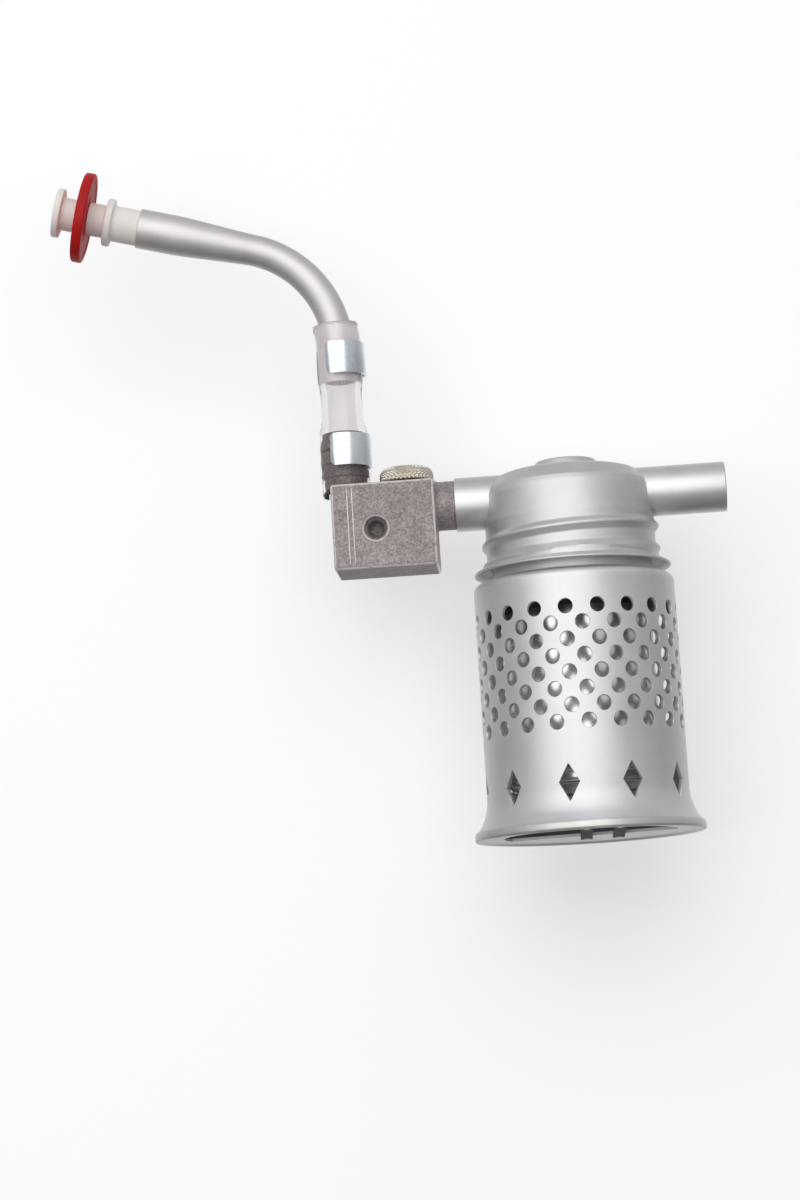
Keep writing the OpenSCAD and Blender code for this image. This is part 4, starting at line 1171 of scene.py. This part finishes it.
class BURNER_OT_stage(bpy.types.Operator):
    """Adds the floor, the backdrop, the lights and the camera"""

    bl_idname = "burner.stage"
    bl_label = "Stage"

    def pale(self, name):
        """White from one side and clear from the other, so that no view is blocked."""
        material = bpy.data.materials.new(name)
        material.use_nodes = True
        n = Nodes(material.node_tree)
        n.tree.nodes.clear()
        grey, strength = 0.78, 0.38
        paper = n.node("ShaderNodeBsdfDiffuse", Color=grey).outputs[0]
        glow = n.node("ShaderNodeEmission", Color=1, Strength=strength).outputs[0]
        clear = n.node("ShaderNodeBsdfTransparent").outputs[0]
        back = n.node("ShaderNodeNewGeometry").outputs["Backfacing"]
        both = n.join("ShaderNodeAddShader", paper, glow)
        n.node("ShaderNodeOutputMaterial", Surface=n.join("ShaderNodeMixShader", back, both, clear))
        return material

    def sheet(self, name, corners):
        mesh = bpy.data.meshes.new(name)
        mesh.from_pydata(corners, [], [(0, 1, 2, 3)])
        mesh.materials.append(self.pale(name + "_white"))
        obj = linked(name, mesh)
        for kind in ("diffuse", "glossy", "transmission", "shadow"):
            setattr(obj, "visible_" + kind, False)

    def lamp(self, name, place, target, size, power):
        light = bpy.data.lights.new(name, "AREA")
        light.shape = "RECTANGLE"
        light.size, light.size_y = size
        light.energy = power
        obj = linked(name, light)
        obj.location = place
        aim = Vector(target) - Vector(place)
        obj.rotation_euler = aim.to_track_quat("-Z", "Y").to_euler()

    def world(self):
        """White where the background shows, greyer to the sides and below, as a room is."""
        world = bpy.data.worlds.new("room")
        bpy.context.scene.world = world
        world.use_nodes = True
        n = Nodes(world.node_tree)
        n.tree.nodes.clear()
        rays = n.node("ShaderNodeLightPath").outputs
        coords = n.node("ShaderNodeTexCoord").outputs["Generated"]
        split = n.node("ShaderNodeSeparateXYZ", Vector=coords).outputs
        blue = 1.015

        def levels(axis, stops):
            half = n.node("ShaderNodeMapRange", From_Min=-1, Value=split[axis]).outputs[0]
            return n.ramp(half, [(at, (level, level, level * blue)) for at, level in stops])

        heights = levels("Z", ((0.0, 0.13), (0.40, 0.20), (0.52, 0.36), (0.7, 0.44), (1.0, 0.46)))
        paper = levels("Y", ((0.0, 0.12), (0.2, 0.12), (0.38, 0.06), (0.5, 0.0), (0.66, 0.0),
                             (0.86, 0.16), (1.0, 0.5)))
        both = n.mix(1.0, heights, paper, "ADD")
        room = n.node("ShaderNodeBackground", Color=both).outputs[0]
        white = n.node("ShaderNodeBackground", Color=1).outputs[0]
        # Clear pieces show the white too, and metal shows it where it faces the paper
        facing = n.node("ShaderNodeMapRange", From_Min=0.55, From_Max=1.0, To_Min=0.0, To_Max=0.6,
                        Value=split["Y"]).outputs[0]
        seen = n.maths("MULTIPLY", rays["Is Glossy Ray"], facing)
        for kind in ("Is Transmission Ray", "Is Camera Ray"):
            seen = n.maths("MAXIMUM", seen, rays[kind])
        shown = n.join("ShaderNodeMixShader", seen, room, white)
        n.node("ShaderNodeOutputWorld", Surface=shown)

    def camera(self):
        stage = bpy.context.scene.burner_stage
        yaw, rise, roll = stage.yaw, stage.rise, stage.roll
        ahead = Vector((
            math.sin(yaw) * math.cos(rise), math.cos(yaw) * math.cos(rise), math.sin(rise)))
        above = Vector((
            -math.sin(yaw) * math.sin(rise), -math.cos(yaw) * math.sin(rise), math.cos(rise)))
        beside = Vector((math.cos(yaw), -math.sin(yaw), 0))
        right = beside * math.cos(roll) - above * math.sin(roll)
        up = beside * math.sin(roll) + above * math.cos(roll)
        place = -(right * stage.aside[0] - up * stage.aside[1] + ahead * stage.distance)
        data = bpy.data.cameras.new("camera")
        data.lens = stage.lens
        data.sensor_width = 36
        data.clip_start = 0.01
        obj = linked("camera", data)
        turn = Matrix((right, up, -ahead)).transposed().to_4x4()
        obj.matrix_world = Matrix.Translation(place) @ turn
        bpy.context.scene.camera = obj

    def execute(self, context):
        reach = 1.6
        behind = FOOT_R + 6 * MM
        corners = ((-reach, -reach), (reach, -reach), (reach, reach), (-reach, reach))
        self.sheet("floor", [(x, y, 0) for x, y in corners])
        self.sheet("backdrop", [(x, behind, z) for x, z in corners])
        place, target, size, watts = (-0.20, -0.97, 0.36), (-0.03, 0.0, 0.09), (1.5, 1.3), 6.4
        self.lamp("key", place, target, size, watts)
        self.world()
        self.camera()
        context.scene.view_settings.view_transform = "Standard"
        return {"FINISHED"}


class BURNER_PT_panel(bpy.types.Panel):
    """Lists the pieces that can be added"""

    bl_idname = "BURNER_PT_panel"
    bl_label = "Burner"
    bl_space_type = "VIEW_3D"
    bl_region_type = "UI"
    bl_category = "Burner"

    def draw(self, context):
        for piece in PIECES:
            self.layout.operator(piece.bl_idname)


SETTINGS = {
    "burner_can": BurnerCanSettings,
    "burner_cap": BurnerCapSettings,
    "burner_inlet": BurnerInletSettings,
    "burner_finish": BurnerFinishSettings,
    "burner_stage": BurnerStageSettings,
}
PIECES = (
    BURNER_OT_stage, BURNER_OT_guard_can, BURNER_OT_base, BURNER_OT_flame_tube, BURNER_OT_cap,
    BURNER_OT_cross_tubes, BURNER_OT_valve_block, BURNER_OT_test_screw, BURNER_OT_valve_knob,
    BURNER_OT_hose, BURNER_OT_clamps, BURNER_OT_inlet_tube, BURNER_OT_nipple,
    BURNER_OT_inner_parts,
)


def register():
    for group in SETTINGS.values():
        bpy.utils.register_class(group)
    for name, group in SETTINGS.items():
        setattr(bpy.types.Scene, name, bpy.props.PointerProperty(type=group))
    for piece in PIECES + (BURNER_PT_panel,):
        bpy.utils.register_class(piece)


def unregister():
    for piece in reversed(PIECES + (BURNER_PT_panel,)):
        bpy.utils.unregister_class(piece)
    for name, group in SETTINGS.items():
        delattr(bpy.types.Scene, name)
        bpy.utils.unregister_class(group)


def main():
    register()
    for piece in PIECES:
        group, name = piece.bl_idname.split(".")
        getattr(getattr(bpy.ops, group), name)()


if __name__ == "__main__":
    main()
